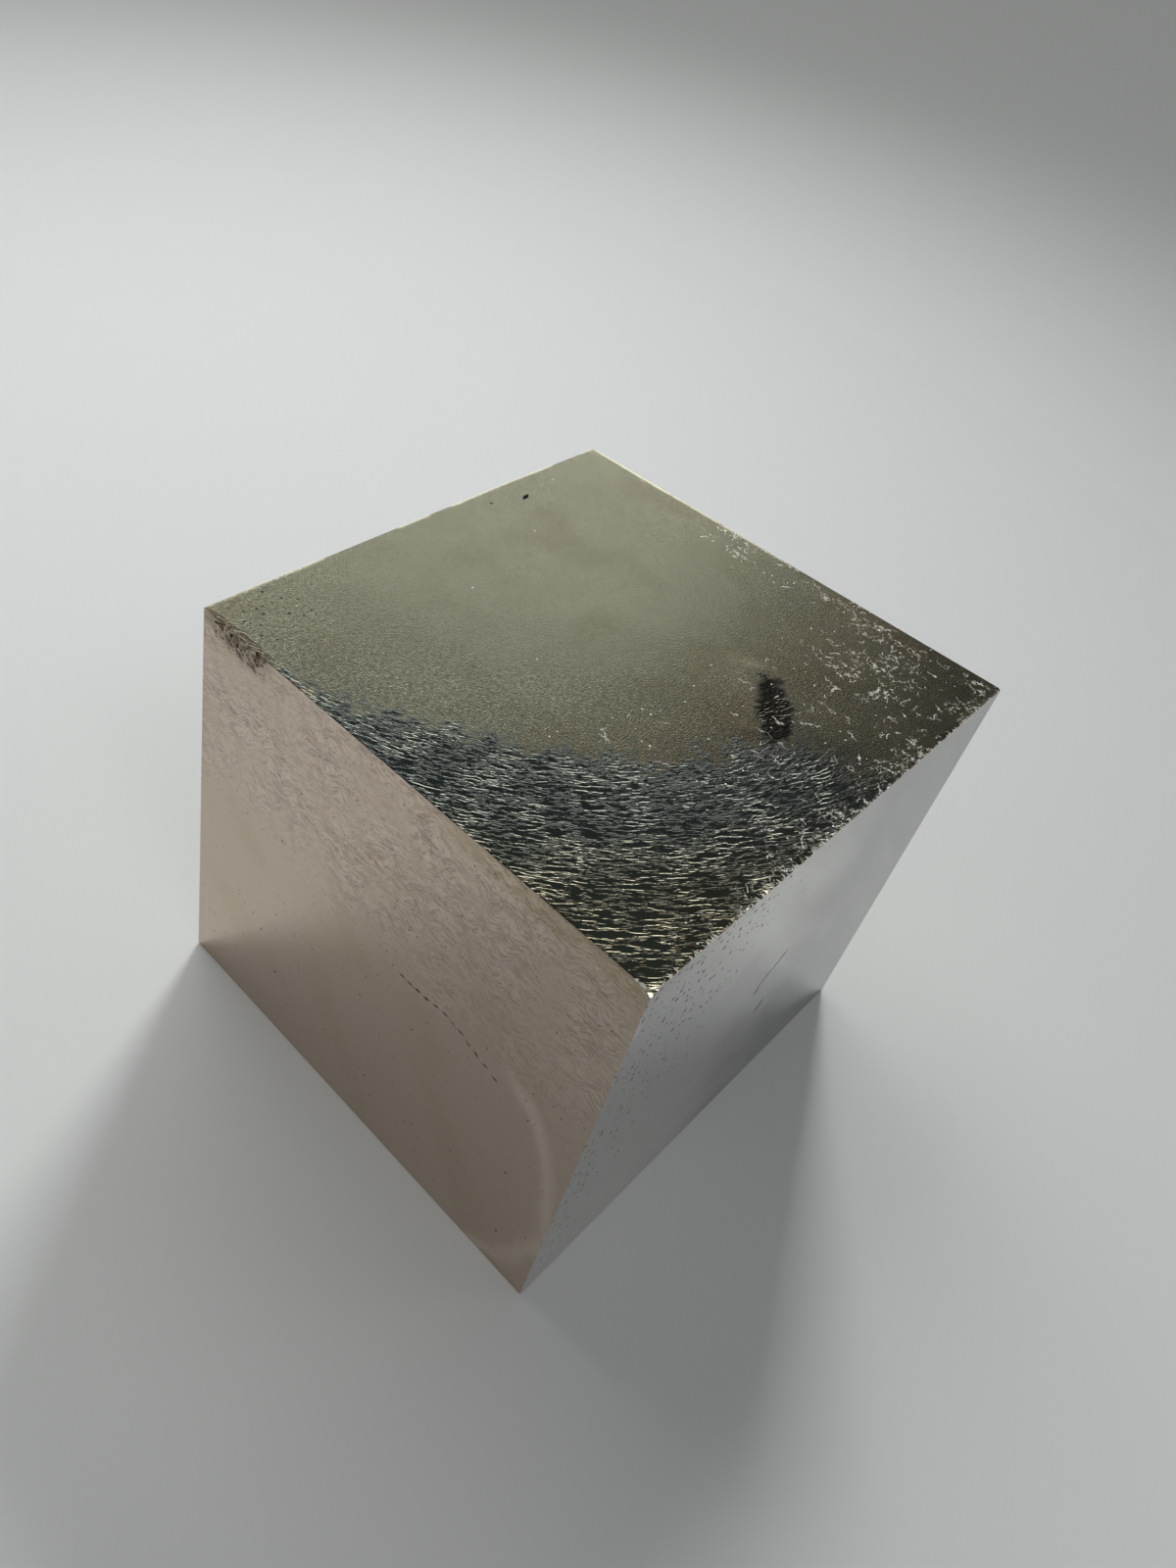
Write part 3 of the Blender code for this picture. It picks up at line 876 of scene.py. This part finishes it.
class Value:
    """A number in a shader: a socket, with Python's operators as Math nodes."""

    def __init__(self, graph: "Graph", socket: bpy.types.NodeSocket) -> None:
        """Keep the socket and the graph that new nodes go in."""
        self.graph = graph
        self.socket = socket

    def math(self, operation: str, *others: "Value | float", clamp: bool = False) -> "Value":
        """One Math node on this value.

        Args:
            operation: Blender's name of the operation.
            others: Up to two more operands.
            clamp: Keep the result from 0 to 1.

        Returns:
            The result.
        """
        inputs = {0: self}
        inputs.update({index + 1: other for index, other in enumerate(others)})
        node = self.graph.node("ShaderNodeMath", {"operation": operation, "use_clamp": clamp}, inputs)
        return Value(self.graph, node.outputs[0])

    def __add__(self, other: "Value | float") -> "Value":
        """self + other."""
        return self.math("ADD", other)

    __radd__ = __add__

    def __sub__(self, other: "Value | float") -> "Value":
        """self - other."""
        return self.math("SUBTRACT", other)

    def __rsub__(self, other: "Value | float") -> "Value":
        """other - self."""
        return (self * -1.0) + other

    def __mul__(self, other: "Value | float") -> "Value":
        """self * other."""
        return self.math("MULTIPLY", other)

    __rmul__ = __mul__

    def __truediv__(self, other: "Value | float") -> "Value":
        """self / other."""
        return self.math("DIVIDE", other)

    def __rtruediv__(self, other: "Value | float") -> "Value":
        """other / self."""
        return self.math("POWER", -1.0) * other

    def __pow__(self, other: "Value | float") -> "Value":
        """self to a power."""
        return self.math("POWER", other)

    def __abs__(self) -> "Value":
        """The size of self."""
        return self.math("ABSOLUTE")

    def clamped(self) -> "Value":
        """Self kept from 0 to 1."""
        return self.math("ADD", 0.0, clamp=True)

    def fraction(self) -> "Value":
        """The part of self after the point."""
        return self.math("FRACT")

    def larger(self, other: "Value | float") -> "Value":
        """The larger of self and other."""
        return self.math("MAXIMUM", other)

    def sine(self) -> "Value":
        """The sine of self in radians."""
        return self.math("SINE")

    def cosine(self) -> "Value":
        """The cosine of self in radians."""
        return self.math("COSINE")

    def ramp(self, low: float, high: float) -> "Value":
        """Smooth step; high may be the smaller one.

        Args:
            low: Where the result is 0.
            high: Where the result is 1.

        Returns:
            A number from 0 to 1.
        """
        (start, first), (end, last) = sorted(((low, 0.0), (high, 1.0)))
        settings = {"interpolation_type": "SMOOTHSTEP", "data_type": "FLOAT"}
        inputs = {"Value": self, "From Min": start, "From Max": end, "To Min": first, "To Max": last}
        return Value(self.graph, self.graph.node("ShaderNodeMapRange", settings, inputs).outputs["Result"])


class Graph:
    """A node tree that is written as expressions."""

    def __init__(self, tree: bpy.types.NodeTree) -> None:
        """Start from an empty tree."""
        self.tree = tree
        tree.nodes.clear()

    def node(self, kind: str, settings: dict | None = None, inputs: dict | None = None) -> bpy.types.Node:
        """Add a node, its settings first and then its sockets.

        Args:
            kind: Blender's name of the node type.
            settings: Property values.
            inputs: Socket name or number to a value, a Value or a socket.

        Returns:
            The new node.
        """
        made = self.tree.nodes.new(kind)
        for name, setting in (settings or {}).items():
            setattr(made, name, setting)
        for name, given in (inputs or {}).items():
            given = given.socket if isinstance(given, Value) else given
            if isinstance(given, bpy.types.NodeSocket):
                self.tree.links.new(given, made.inputs[name])
            else:
                made.inputs[name].default_value = given
        return made

    def value(self, socket: bpy.types.NodeSocket) -> Value:
        """Wrap a socket for arithmetic."""
        return Value(self, socket)

    def split(self, vector: bpy.types.NodeSocket) -> tuple[Value, Value, Value]:
        """The three parts of a vector."""
        parts = self.node("ShaderNodeSeparateXYZ", None, {0: vector})
        return tuple(self.value(socket) for socket in parts.outputs)

    def join(self, x: Value | float, y: Value | float, z: Value | float = 0.0) -> bpy.types.NodeSocket:
        """A vector from three numbers."""
        return self.node("ShaderNodeCombineXYZ", None, {0: x, 1: y, 2: z}).outputs[0]

    def scaled(self, vector: bpy.types.NodeSocket, factor: float) -> bpy.types.NodeSocket:
        """A vector times a number."""
        node = self.node("ShaderNodeVectorMath", {"operation": "SCALE"}, {0: vector, "Scale": factor})
        return node.outputs[0]

    def less(self, vector: bpy.types.NodeSocket, other: bpy.types.NodeSocket) -> bpy.types.NodeSocket:
        """A vector minus another."""
        node = self.node("ShaderNodeVectorMath", {"operation": "SUBTRACT"}, {0: vector, 1: other})
        return node.outputs[0]

    def noise(
        self, vector: bpy.types.NodeSocket, size: float, detail: float = 2.0, rough: float = 0.5
    ) -> Value:
        """Flat noise.

        Args:
            vector: Where it is read.
            size: Size of its features, in the vector's units.
            detail: How many finer layers it has.
            rough: How strong each finer layer is.

        Returns:
            A number from 0 to 1.
        """
        settings = {"noise_dimensions": "2D", "normalize": True}
        inputs = {"Vector": vector, "Scale": 1.0 / size, "Detail": detail, "Roughness": rough}
        return self.value(self.node("ShaderNodeTexNoise", settings, inputs).outputs[0])

    def cells(self, vector: bpy.types.NodeSocket, size: float) -> bpy.types.Node:
        """Flat Voronoi cells of a size, in the vector's units."""
        settings = {"voronoi_dimensions": "2D", "feature": "F1"}
        return self.node("ShaderNodeTexVoronoi", settings, {"Vector": vector, "Scale": 1.0 / size})

    def attribute(self, name: str) -> Value:
        """A number that the mesh carries under a name."""
        return self.value(self.node("ShaderNodeAttribute", {"attribute_name": name}).outputs["Fac"])

    def blend(self, factor: Value | float, low: object, high: object) -> bpy.types.NodeSocket:
        """A colour between two colours.

        Args:
            factor: 0 for the first, 1 for the second.
            low: The first, as three numbers or a socket.
            high: The second, in the same way.

        Returns:
            The colour.
        """
        inputs = {0: factor}
        for index, colour in ((6, low), (7, high)):
            inputs[index] = colour if isinstance(colour, bpy.types.NodeSocket) else (*colour, 1.0)
        return self.node("ShaderNodeMix", {"data_type": "RGBA"}, inputs).outputs[2]


class Spot:
    """A shaded point of the crystal: where it lies, which face it is on, and the patterns there."""

    def __init__(self, graph: Graph) -> None:
        """Read the point's place, its normal and what the mesh carries.

        Args:
            graph: Where the nodes go.
        """
        coordinates = graph.node("ShaderNodeTexCoord")
        normal_x, normal_y, normal_z = graph.split(coordinates.outputs["Normal"])
        sideways, level = abs(normal_x).ramp(*FACING), abs(normal_z).ramp(*FACING)
        recess = graph.attribute(RECESS)
        self.graph = graph
        self.x, self.y, self.z = graph.split(graph.scaled(coordinates.outputs["Object"], 1.0 / MM))
        self.top = normal_z.ramp(*FACING)
        self.front = (normal_y * -1.0).ramp(*FACING)
        self.right = normal_x.ramp(*FACING)
        flat_u = self.x * (1.0 - sideways) + self.y * sideways
        flat_v = self.z * (1.0 - level) + self.y * level
        self.flat = graph.join(flat_u, flat_v)
        self.paint = {kind: graph.attribute(kind.value) for kind in Paint}
        # The first mask is painted shade inside pits plus the darker tone of worn patches; the second marks
        # the chip and notch faces that carry a painted white glint
        self.wear_and_pit_shade = recess.clamped()
        self.chipped = (recess * -1.0).ramp(0.35, 0.6)
        self.along, self.reach = self.growth_lines()
        self.polished = self.paint[Paint.POLISH] * self.top
        self.pebbled = self.reach.ramp(13.0, 22.0) * self.top * (1.0 - self.polished)
        self.mottle = graph.noise(self.flat, 0.22, 3.0, 0.85)

    def growth_lines(self) -> tuple[Value, Value]:
        """Millimetres along and out from the arcs round the top's growth centre."""
        du, dv = self.x - GROWTH_CENTRE[0], self.y - (GROWTH_CENTRE[1] - PyriteCube.length / 2)
        return dv.math("ARCTAN2", du) * ARC_SCALE, (du * du + dv * dv) ** 0.5


@dataclass(frozen=True)
class PyriteFinish:
    """Natural pyrite: metal whose polish and micro relief change from face to face; its tint changes from
    face to face as well, partly as painted reflection colour.
    """

    top: Colour = (0.57, 0.57, 0.42)
    # The front's brown and the right face's silvery grey are partly the metal's own tone, partly painted
    # reflection colour
    front: Colour = (0.54, 0.44, 0.36)
    right: Colour = (0.64, 0.635, 0.62)
    hidden: Colour = (0.56, 0.53, 0.43)
    # Tarnish, also the painted warm reflection on the top's right part
    tarnish_and_warm_reflection: Colour = (0.44, 0.37, 0.23)
    # Painted dim reflection on the right face towards its back
    painted_dim_reflection: Colour = (0.33, 0.33, 0.335)
    # Pale marks, and the painted white glints on chips, notches and satin grains
    deposit_and_glint: Colour = (0.90, 0.89, 0.82)
    # Painted dark, cool reflection of the top's polished part
    painted_cool_reflection: Colour = (0.30, 0.335, 0.32)
    sand: Colour = (0.30, 0.30, 0.22)
    shade: Colour = (0.38, 0.29, 0.22)
    # Painted shade of pits and pinholes, the hook's painted dark reflection, and the darker tone of worn
    # patches
    painted_dark_and_wear: Colour = (0.06, 0.05, 0.04)
    # Painted highlight along the front's striations and on its bright fan
    gleam: Colour = (0.70, 0.60, 0.51)
    scuffed: Colour = (0.20, 0.155, 0.10)

    def material(self) -> bpy.types.Material:
        """Make the whole material.

        Returns:
            The material.
        """
        material = bpy.data.materials.new("pyrite")
        material.use_nodes = True
        graph = Graph(material.node_tree)
        spot = Spot(graph)
        marks = self.marks(spot) * spot.top
        specks, glints = self.pinholes(spot)
        lines, pale_lines = self.growth_threads(spot)
        tint = self.streaked(spot, self.ground(spot), lines, pale_lines)
        # Painted shade in pits and pinholes, the darker worn patches, and the hook's painted dark reflection
        dark = (spot.wear_and_pit_shade * 0.9).larger(specks * 0.9).larger(spot.paint[Paint.HOOK] * 0.95)
        tint = graph.blend(dark, tint, self.painted_dark_and_wear)
        # Pale marks, plus painted white glints on chips, notches and the satin's bright grains, made pale and
        # less metallic
        pale_marks_and_glints = marks.larger(spot.chipped)
        tint = graph.blend(pale_marks_and_glints.larger(glints * 0.45) * 0.95, tint, self.deposit_and_glint)
        rough = 0.18 + spot.paint[Paint.CLOUD] * 0.03 - spot.polished * 0.11
        rough = rough + marks * 0.3 + specks * 0.2 + spot.wear_and_pit_shade * 0.15
        relief = {"Strength": 1.0, "Distance": MM, "Height": self.fine_relief(spot, lines)}
        surface = {
            "Base Color": tint,
            "Metallic": 1.0 - pale_marks_and_glints * 0.85,
            "Roughness": rough.clamped(),
            "Normal": graph.node("ShaderNodeBump", None, relief).outputs[0],
        }
        shader = graph.node("ShaderNodeBsdfPrincipled", None, surface)
        graph.node("ShaderNodeOutputMaterial", None, {"Surface": shader.outputs[0]})
        return material

    def ground(self, spot: Spot) -> bpy.types.NodeSocket:
        """The metal's tint: each face's colour with painted reflection colour in it, its tarnish and painted
        warm reflection, a painted dim reflection on the right face, its sandy grain and the painted cool
        reflection of its polished part.

        Args:
            spot: The shaded point.

        Returns:
            The tint.
        """
        graph = spot.graph
        tint = graph.blend(spot.top, self.hidden, self.top)
        # Face tints that carry painted reflection colour on the front and the right face
        tint = graph.blend(spot.front, tint, self.front)
        tint = graph.blend(spot.right, tint, self.right)
        # Painted dim reflection: the right face darker towards its back
        backward = (spot.y + spot.paint[Paint.CLOUD] * 2.0).ramp(-6.0, 6.0)
        tint = graph.blend(spot.right * backward, tint, self.painted_dim_reflection)
        # Random tarnish and the painted warm reflection on the top's right part
        warm = (spot.paint[Paint.WARMTH] + (0.5 - spot.mottle) * 0.9).clamped()
        tint = graph.blend(warm * (1.0 - spot.right * 0.8), tint, self.tarnish_and_warm_reflection)
        sandy = spot.mottle.ramp(0.38, 0.62) * (spot.pebbled * 0.50 + 0.12) * spot.top
        tint = graph.blend(sandy, tint, self.sand)
        # Painted dark, cool reflection in the polished part, weaker far from the growth centre
        return graph.blend(spot.polished * (0.85 - spot.reach.ramp(26.0, 32.0) * 0.55), tint, self.painted_cool_reflection)

    def growth_threads(self, spot: Spot) -> tuple[Value, Value]:
        """Fine threads that follow the arcs of the top and lie level on the other faces.

        Args:
            spot: The shaded point.

        Returns:
            The raised threads, and the lines between them that carry painted highlight on the front.
        """
        beside = 1.0 - spot.top
        along = spot.along * spot.top * 0.75 + spot.x * beside * 1.1
        across = spot.reach * spot.top / 0.31 + (spot.z + spot.paint[Paint.DRIFT]) * beside / 0.23
        raised = self.threads(spot.graph, along, across, 10.0 + spot.front * 3.0)
        return raised, self.threads(spot.graph, along + 9.0, across, 8.0)

    def threads(self, graph: Graph, along: Value, across: Value, thinness: Value | float) -> Value:
        """Fine wavy threads, where drawn-out noise crosses its middle."""
        drawn = graph.noise(graph.join(along, across), 1.0, 2.0, 0.6)
        return (1.0 - abs(drawn - 0.5) * thinness).clamped()

    def streaked(
        self, spot: Spot, tint: bpy.types.NodeSocket, lines: Value, pale_lines: Value
    ) -> bpy.types.NodeSocket:
        """The tint with painted shade and painted highlight along the front's striations, its bright fan and
        its scuffed band.

        Args:
            spot: The shaded point.
            tint: The metal's own tint.
            lines: The raised threads.
            pale_lines: The pale threads.

        Returns:
            The tint.
        """
        graph = spot.graph
        threads = spot.paint[Paint.THREADS]
        # Painted shade on the raised threads and painted highlight between them, along the front's striations
        tint = graph.blend(lines * threads * spot.front, tint, self.shade)
        pale = pale_lines * threads * 0.75 + spot.paint[Paint.FAN] * (spot.mottle + 0.2)
        tint = graph.blend(pale * spot.front, tint, self.gleam)
        scuffs = spot.mottle.ramp(0.62, 0.40) * 0.55 + 0.35
        return graph.blend(spot.paint[Paint.WEAR] * scuffs, tint, self.scuffed)

    def fine_relief(self, spot: Spot, lines: Value) -> Value:
        """The micro relief for the bump: grain, stronger where the top is pebbled, and the threads.

        Args:
            spot: The shaded point.
            lines: The raised threads.

        Returns:
            Heights in millimetres.
        """
        grain = spot.graph.noise(spot.flat, 0.085, 2.0, 0.7)
        height = (grain - 0.5) * (0.009 + spot.pebbled * 0.007 - spot.polished * 0.006)
        tall = 0.0115 + spot.reach.ramp(25.0, 34.0) * spot.top * 0.006
        return height + lines * spot.paint[Paint.THREADS] * (spot.top + spot.front) * tall

    def pinholes(self, spot: Spot) -> tuple[Value, Value]:
        """Pinholes painted dark as shade, crowded at the right face's near edge, and painted glints in the
        satin part.

        Args:
            spot: The shaded point.

        Returns:
            The masks of the painted pinhole shade and of the painted glints.
        """
        corner = (spot.x - spot.y * 0.6).ramp(-2.6, -4.4) * spot.y.ramp(-8.5, -11.0) * spot.top
        dotted = spot.right * (spot.y - spot.z * 0.4).ramp(-9.0, -17.0)
        size = corner * 0.040 + dotted * 0.048 + 0.030
        share = (1.0 - spot.top) * 0.16 + corner * 0.55 + dotted * 0.34
        # Pinholes painted dark as shade, crowded near the top's near corner and the right face's near edge
        dark = self.specks(spot, 0.50, size, share)
        # Painted glints: bright grains in the satin part
        return dark, self.specks(spot, 0.26, 0.028, spot.top * (spot.pebbled * 0.40 + 0.06))

    def specks(self, spot: Spot, cell: float, size: Value | float, share: Value | float) -> Value:
        """Round specks at random places.

        Args:
            spot: The shaded point.
            cell: Average distance between possible specks.
            size: Largest radius.
            share: Share of the possible specks that are there.

        Returns:
            Their mask.
        """
        cells = spot.graph.cells(spot.flat, cell)
        distance = spot.graph.value(cells.outputs["Distance"]) * cell
        chance, extent, _ = spot.graph.split(cells.outputs["Color"])
        there = (share - chance).ramp(0.0, 0.02)
        return (distance / ((extent + 0.4) * size)).ramp(1.3, 0.7) * there

    def marks(self, spot: Spot) -> Value:
        """Pale hair-fine curls, dots and fuzzy spots.

        Args:
            spot: The shaded point.

        Returns:
            Their mask.
        """
        crowd = spot.paint[Paint.CROWD]
        wavy = spot.graph.noise(spot.flat, 0.20, 1.0) - 0.5
        fuzz = spot.graph.noise(spot.flat, 0.30, 4.0, 0.8).ramp(0.53, 0.66) * (crowd - 0.38).ramp(0.0, 0.35)
        total = (fuzz * 0.85).larger(self.specks(spot, 0.42, 0.034, crowd.ramp(-0.1, 0.6) * 0.22))
        for cell, seed, thin in ((1.05, 0.0, 0.023), (0.66, 40.0, 0.018), (1.60, 80.0, 0.025)):
            total = total.larger(self.curls(spot, wavy, cell, seed, thin))
        return total

    def curls(self, spot: Spot, wavy: Value, cell: float, seed: float, thin: float) -> Value:
        """Short pieces of wavy circles, at most one in a cell.

        Args:
            spot: The shaded point.
            wavy: Noise around zero that bends and thins them.
            cell: Size of the cells.
            seed: Shifts the pattern.
            thin: Half the width of a line.

        Returns:
            Their mask.
        """
        graph = spot.graph
        place = graph.join((spot.x + seed) / cell, (spot.y + seed) / cell)
        cells = graph.cells(place, 1.0)
        draw, chance, bend = graph.split(cells.outputs["Color"])
        u, v, _ = graph.split(graph.less(place, cells.outputs["Position"]))
        radius = bend * 1.1 + 0.12
        centre_u = u + (draw * math.tau).cosine() * radius
        centre_v = v + (draw * math.tau).sine() * radius
        ring = abs((centre_u * centre_u + centre_v * centre_v) ** 0.5 - radius + wavy * 0.3) * cell
        extent = (u * u + v * v) ** 0.5
        reach = (draw * 7.0).fraction() * 0.24 + 0.16
        line = (ring / (thin * (wavy * 2.0 + 1.1))).ramp(1.4, 0.5) * (extent / reach).ramp(1.2, 0.8)
        there = (spot.paint[Paint.CROWD] * 0.8 - chance).ramp(0.0, 0.06)
        return line * there * ((draw * 5.0).fraction() * 0.5 + 0.5)


@dataclass(frozen=True)
class SoftZone:
    """A soft bright part of the surrounding studio, as headings and elevations in degrees."""

    heading: float
    half_width: float
    side_edge: float
    low: float
    low_edge: float
    high: float
    high_edge: float
    light: Colour

    def cover(self, heading: Value, elevation: Value) -> Value:
        """How far a direction lies inside the zone.

        Args:
            heading: The direction's heading, in degrees.
            elevation: Its elevation, in degrees.

        Returns:
            0 outside it, 1 inside it.
        """
        turn = (heading - self.heading + 540.0).math("WRAP", 360.0, 0.0) - 180.0
        inside = abs(turn).ramp(self.half_width + self.side_edge, self.half_width - self.side_edge)
        inside = inside * elevation.ramp(self.low - self.low_edge, self.low + self.low_edge)
        return inside * elevation.ramp(self.high + self.high_edge, self.high - self.high_edge)


@dataclass
class Studio:
    """Pale floor, soft surroundings, lights and the camera; the camera's place is in millimetres."""

    floor_size: float = 4.0
    floor_drop: float = 0.02
    floor_colour: Colour = (0.80, 0.82, 0.815)
    dim: Colour = (0.038, 0.040, 0.042)
    camera_place: Triple = (21.588, -38.151, 56.54)
    camera_right: Triple = (0.69797, 0.69935, 0.1541)
    camera_up: Triple = (-0.55237, 0.3888, 0.73737)
    focal_pixels: float = 1208.6
    centre_pixel: Pair = (479.4, 728.6)
    picture: Pair = (1200.0, 1600.0)
    sensor: float = 36.0

    def floor(self) -> bpy.types.Object:
        """Lay the plain pale floor just under the crystal.

        Returns:
            The floor.
        """
        mesh = bmesh.new()
        bmesh.ops.create_grid(mesh, x_segments=1, y_segments=1, size=self.floor_size / 2)
        bmesh.ops.translate(mesh, vec=(0, 0, -self.floor_drop * MM), verts=mesh.verts)
        data = bpy.data.meshes.new("floor")
        mesh.to_mesh(data)
        mesh.free()
        floor = bpy.data.objects.new("floor", data)
        bpy.context.scene.collection.objects.link(floor)
        material = bpy.data.materials.new("floor_paper")
        material.use_nodes = True
        graph = Graph(material.node_tree)
        paper = {"Base Color": (*self.floor_colour, 1.0), "Roughness": 0.9}
        shader = graph.node("ShaderNodeBsdfPrincipled", None, paper)
        graph.node("ShaderNodeOutputMaterial", None, {"Surface": shader.outputs[0]})
        data.materials.append(material)
        return floor

    def zones(self) -> list[SoftZone]:
        """List the soft boxes that the crystal mirrors; the photo's view of the top shows the first three.

        Returns:
            The zones, each over the ones before it.
        """
        return [
            SoftZone(51.5, 29.5, 8.0, 29.5, 8.0, 38.8, 1.2, (0.87, 0.88, 0.88)),
            SoftZone(54.0, 33.0, 6.0, 2.0, 2.0, 17.0, 2.5, (2.8, 2.75, 2.5)),
            SoftZone(32.0, 15.0, 6.0, 45.0, 3.0, 60.0, 3.0, (0.040, 0.051, 0.054)),
            SoftZone(-42.0, 16.0, 6.0, 6.0, 4.0, 26.0, 4.0, (1.6, 1.6, 1.6)),
            SoftZone(-90.0, 24.0, 10.0, 8.0, 6.0, 34.0, 8.0, (0.42, 0.43, 0.45)),
            SoftZone(-150.0, 42.0, 8.0, 38.0, 5.0, 62.0, 5.0, (0.6, 0.6, 0.58)),
            SoftZone(170.0, 52.0, 10.0, 4.0, 5.0, 44.0, 6.0, (0.34, 0.34, 0.34)),
            SoftZone(-105.0, 7.0, 3.0, 41.0, 3.0, 55.0, 3.0, (4.0, 4.0, 3.9)),
        ]

    def world(self) -> None:
        """Set dim surroundings with soft bright zones, by heading and elevation."""
        world = bpy.data.worlds.new("studio")
        bpy.context.scene.world = world
        world.use_nodes = True
        graph = Graph(world.node_tree)
        x, y, z = graph.split(graph.node("ShaderNodeTexCoord").outputs["Generated"])
        heading = (x * -1.0).math("ARCTAN2", y) * math.degrees(1.0)
        elevation = z.math("ARCSINE") * math.degrees(1.0)
        colour = graph.blend(0.0, self.dim, self.dim)
        for zone in self.zones():
            colour = graph.blend(zone.cover(heading, elevation), colour, zone.light)
        background = graph.node("ShaderNodeBackground", None, {"Color": colour, "Strength": 1.0})
        graph.node("ShaderNodeOutputWorld", None, {"Surface": background.outputs[0]})

    def lamp(self, name: str, place: Triple, aim: Triple, size: float, watts: float, spread: float) -> None:
        """A square soft light that the metal doesn't mirror.

        Args:
            name: Its name.
            place: Where it stands, in metres.
            aim: Where it points, in metres.
            size: Its side, in metres.
            watts: Its power.
            spread: The angle of its beam, in degrees.
        """
        data = bpy.data.lights.new(name, "AREA")
        data.size = size
        data.energy = watts
        data.spread = math.radians(spread)
        lamp = bpy.data.objects.new(name, data)
        lamp.location = place
        lamp.rotation_mode = "QUATERNION"
        lamp.rotation_quaternion = (Vector(aim) - Vector(place)).to_track_quat("-Z", "Y")
        lamp.visible_glossy = False
        bpy.context.scene.collection.objects.link(lamp)

    def lights(self) -> None:
        """A soft key beam from the back left, a weaker lamp over the left and a broad overhead fill."""
        self.lamp("key", (-0.223, 0.386, 0.401), (-0.03, -0.02, 0.0), 0.12, 0.078, 39.0)
        self.lamp("left", (-0.10, 0.02, 0.16), (-0.10, 0.02, 0.0), 0.12, 0.085, 180.0)
        self.lamp("overhead", (0.0, 0.1, 1.2), (0.0, 0.1, 0.0), 1.2, 0.30, 180.0)

    def camera(self) -> None:
        """Set the camera at the photograph's place, with its lens and framing."""
        data = bpy.data.cameras.new("camera")
        longest = max(self.picture)
        data.sensor_width = self.sensor
        data.lens = self.focal_pixels / longest * self.sensor
        data.shift_x = (self.picture[0] / 2 - self.centre_pixel[0]) / longest
        data.shift_y = (self.centre_pixel[1] - self.picture[1] / 2) / longest
        data.clip_start = 0.001
        data.clip_end = 20.0
        right, up = Vector(self.camera_right).normalized(), Vector(self.camera_up).normalized()
        axes = Matrix((right, up, right.cross(up))).transposed()
        camera = bpy.data.objects.new("camera", data)
        camera.matrix_world = Matrix.Translation(Vector(self.camera_place) * MM) @ axes.to_4x4()
        bpy.context.scene.collection.objects.link(camera)
        bpy.context.scene.camera = camera

    def build(self) -> None:
        """Set up everything round the crystal."""
        self.floor()
        self.world()
        self.lights()
        self.camera()
        bpy.context.scene.view_settings.view_transform = "Standard"
        log.info("studio: floor, %d soft zones, 3 lamps and the camera", len(self.zones()))


def main() -> None:
    """Build the studio and the crystal, dress the crystal and report both."""
    logging.basicConfig(level=logging.INFO, format="%(name)s: %(message)s")
    Studio().build()
    crystal = PyriteCube().build()
    crystal.data.materials.clear()
    crystal.data.materials.append(PyriteFinish().material())
    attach(crystal, BODY)
    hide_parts(NODE)
    crystal.data.calc_loop_triangles()
    log.info("%s: %d triangles", crystal.name, len(crystal.data.loop_triangles))


if __name__ == "__main__":
    main()
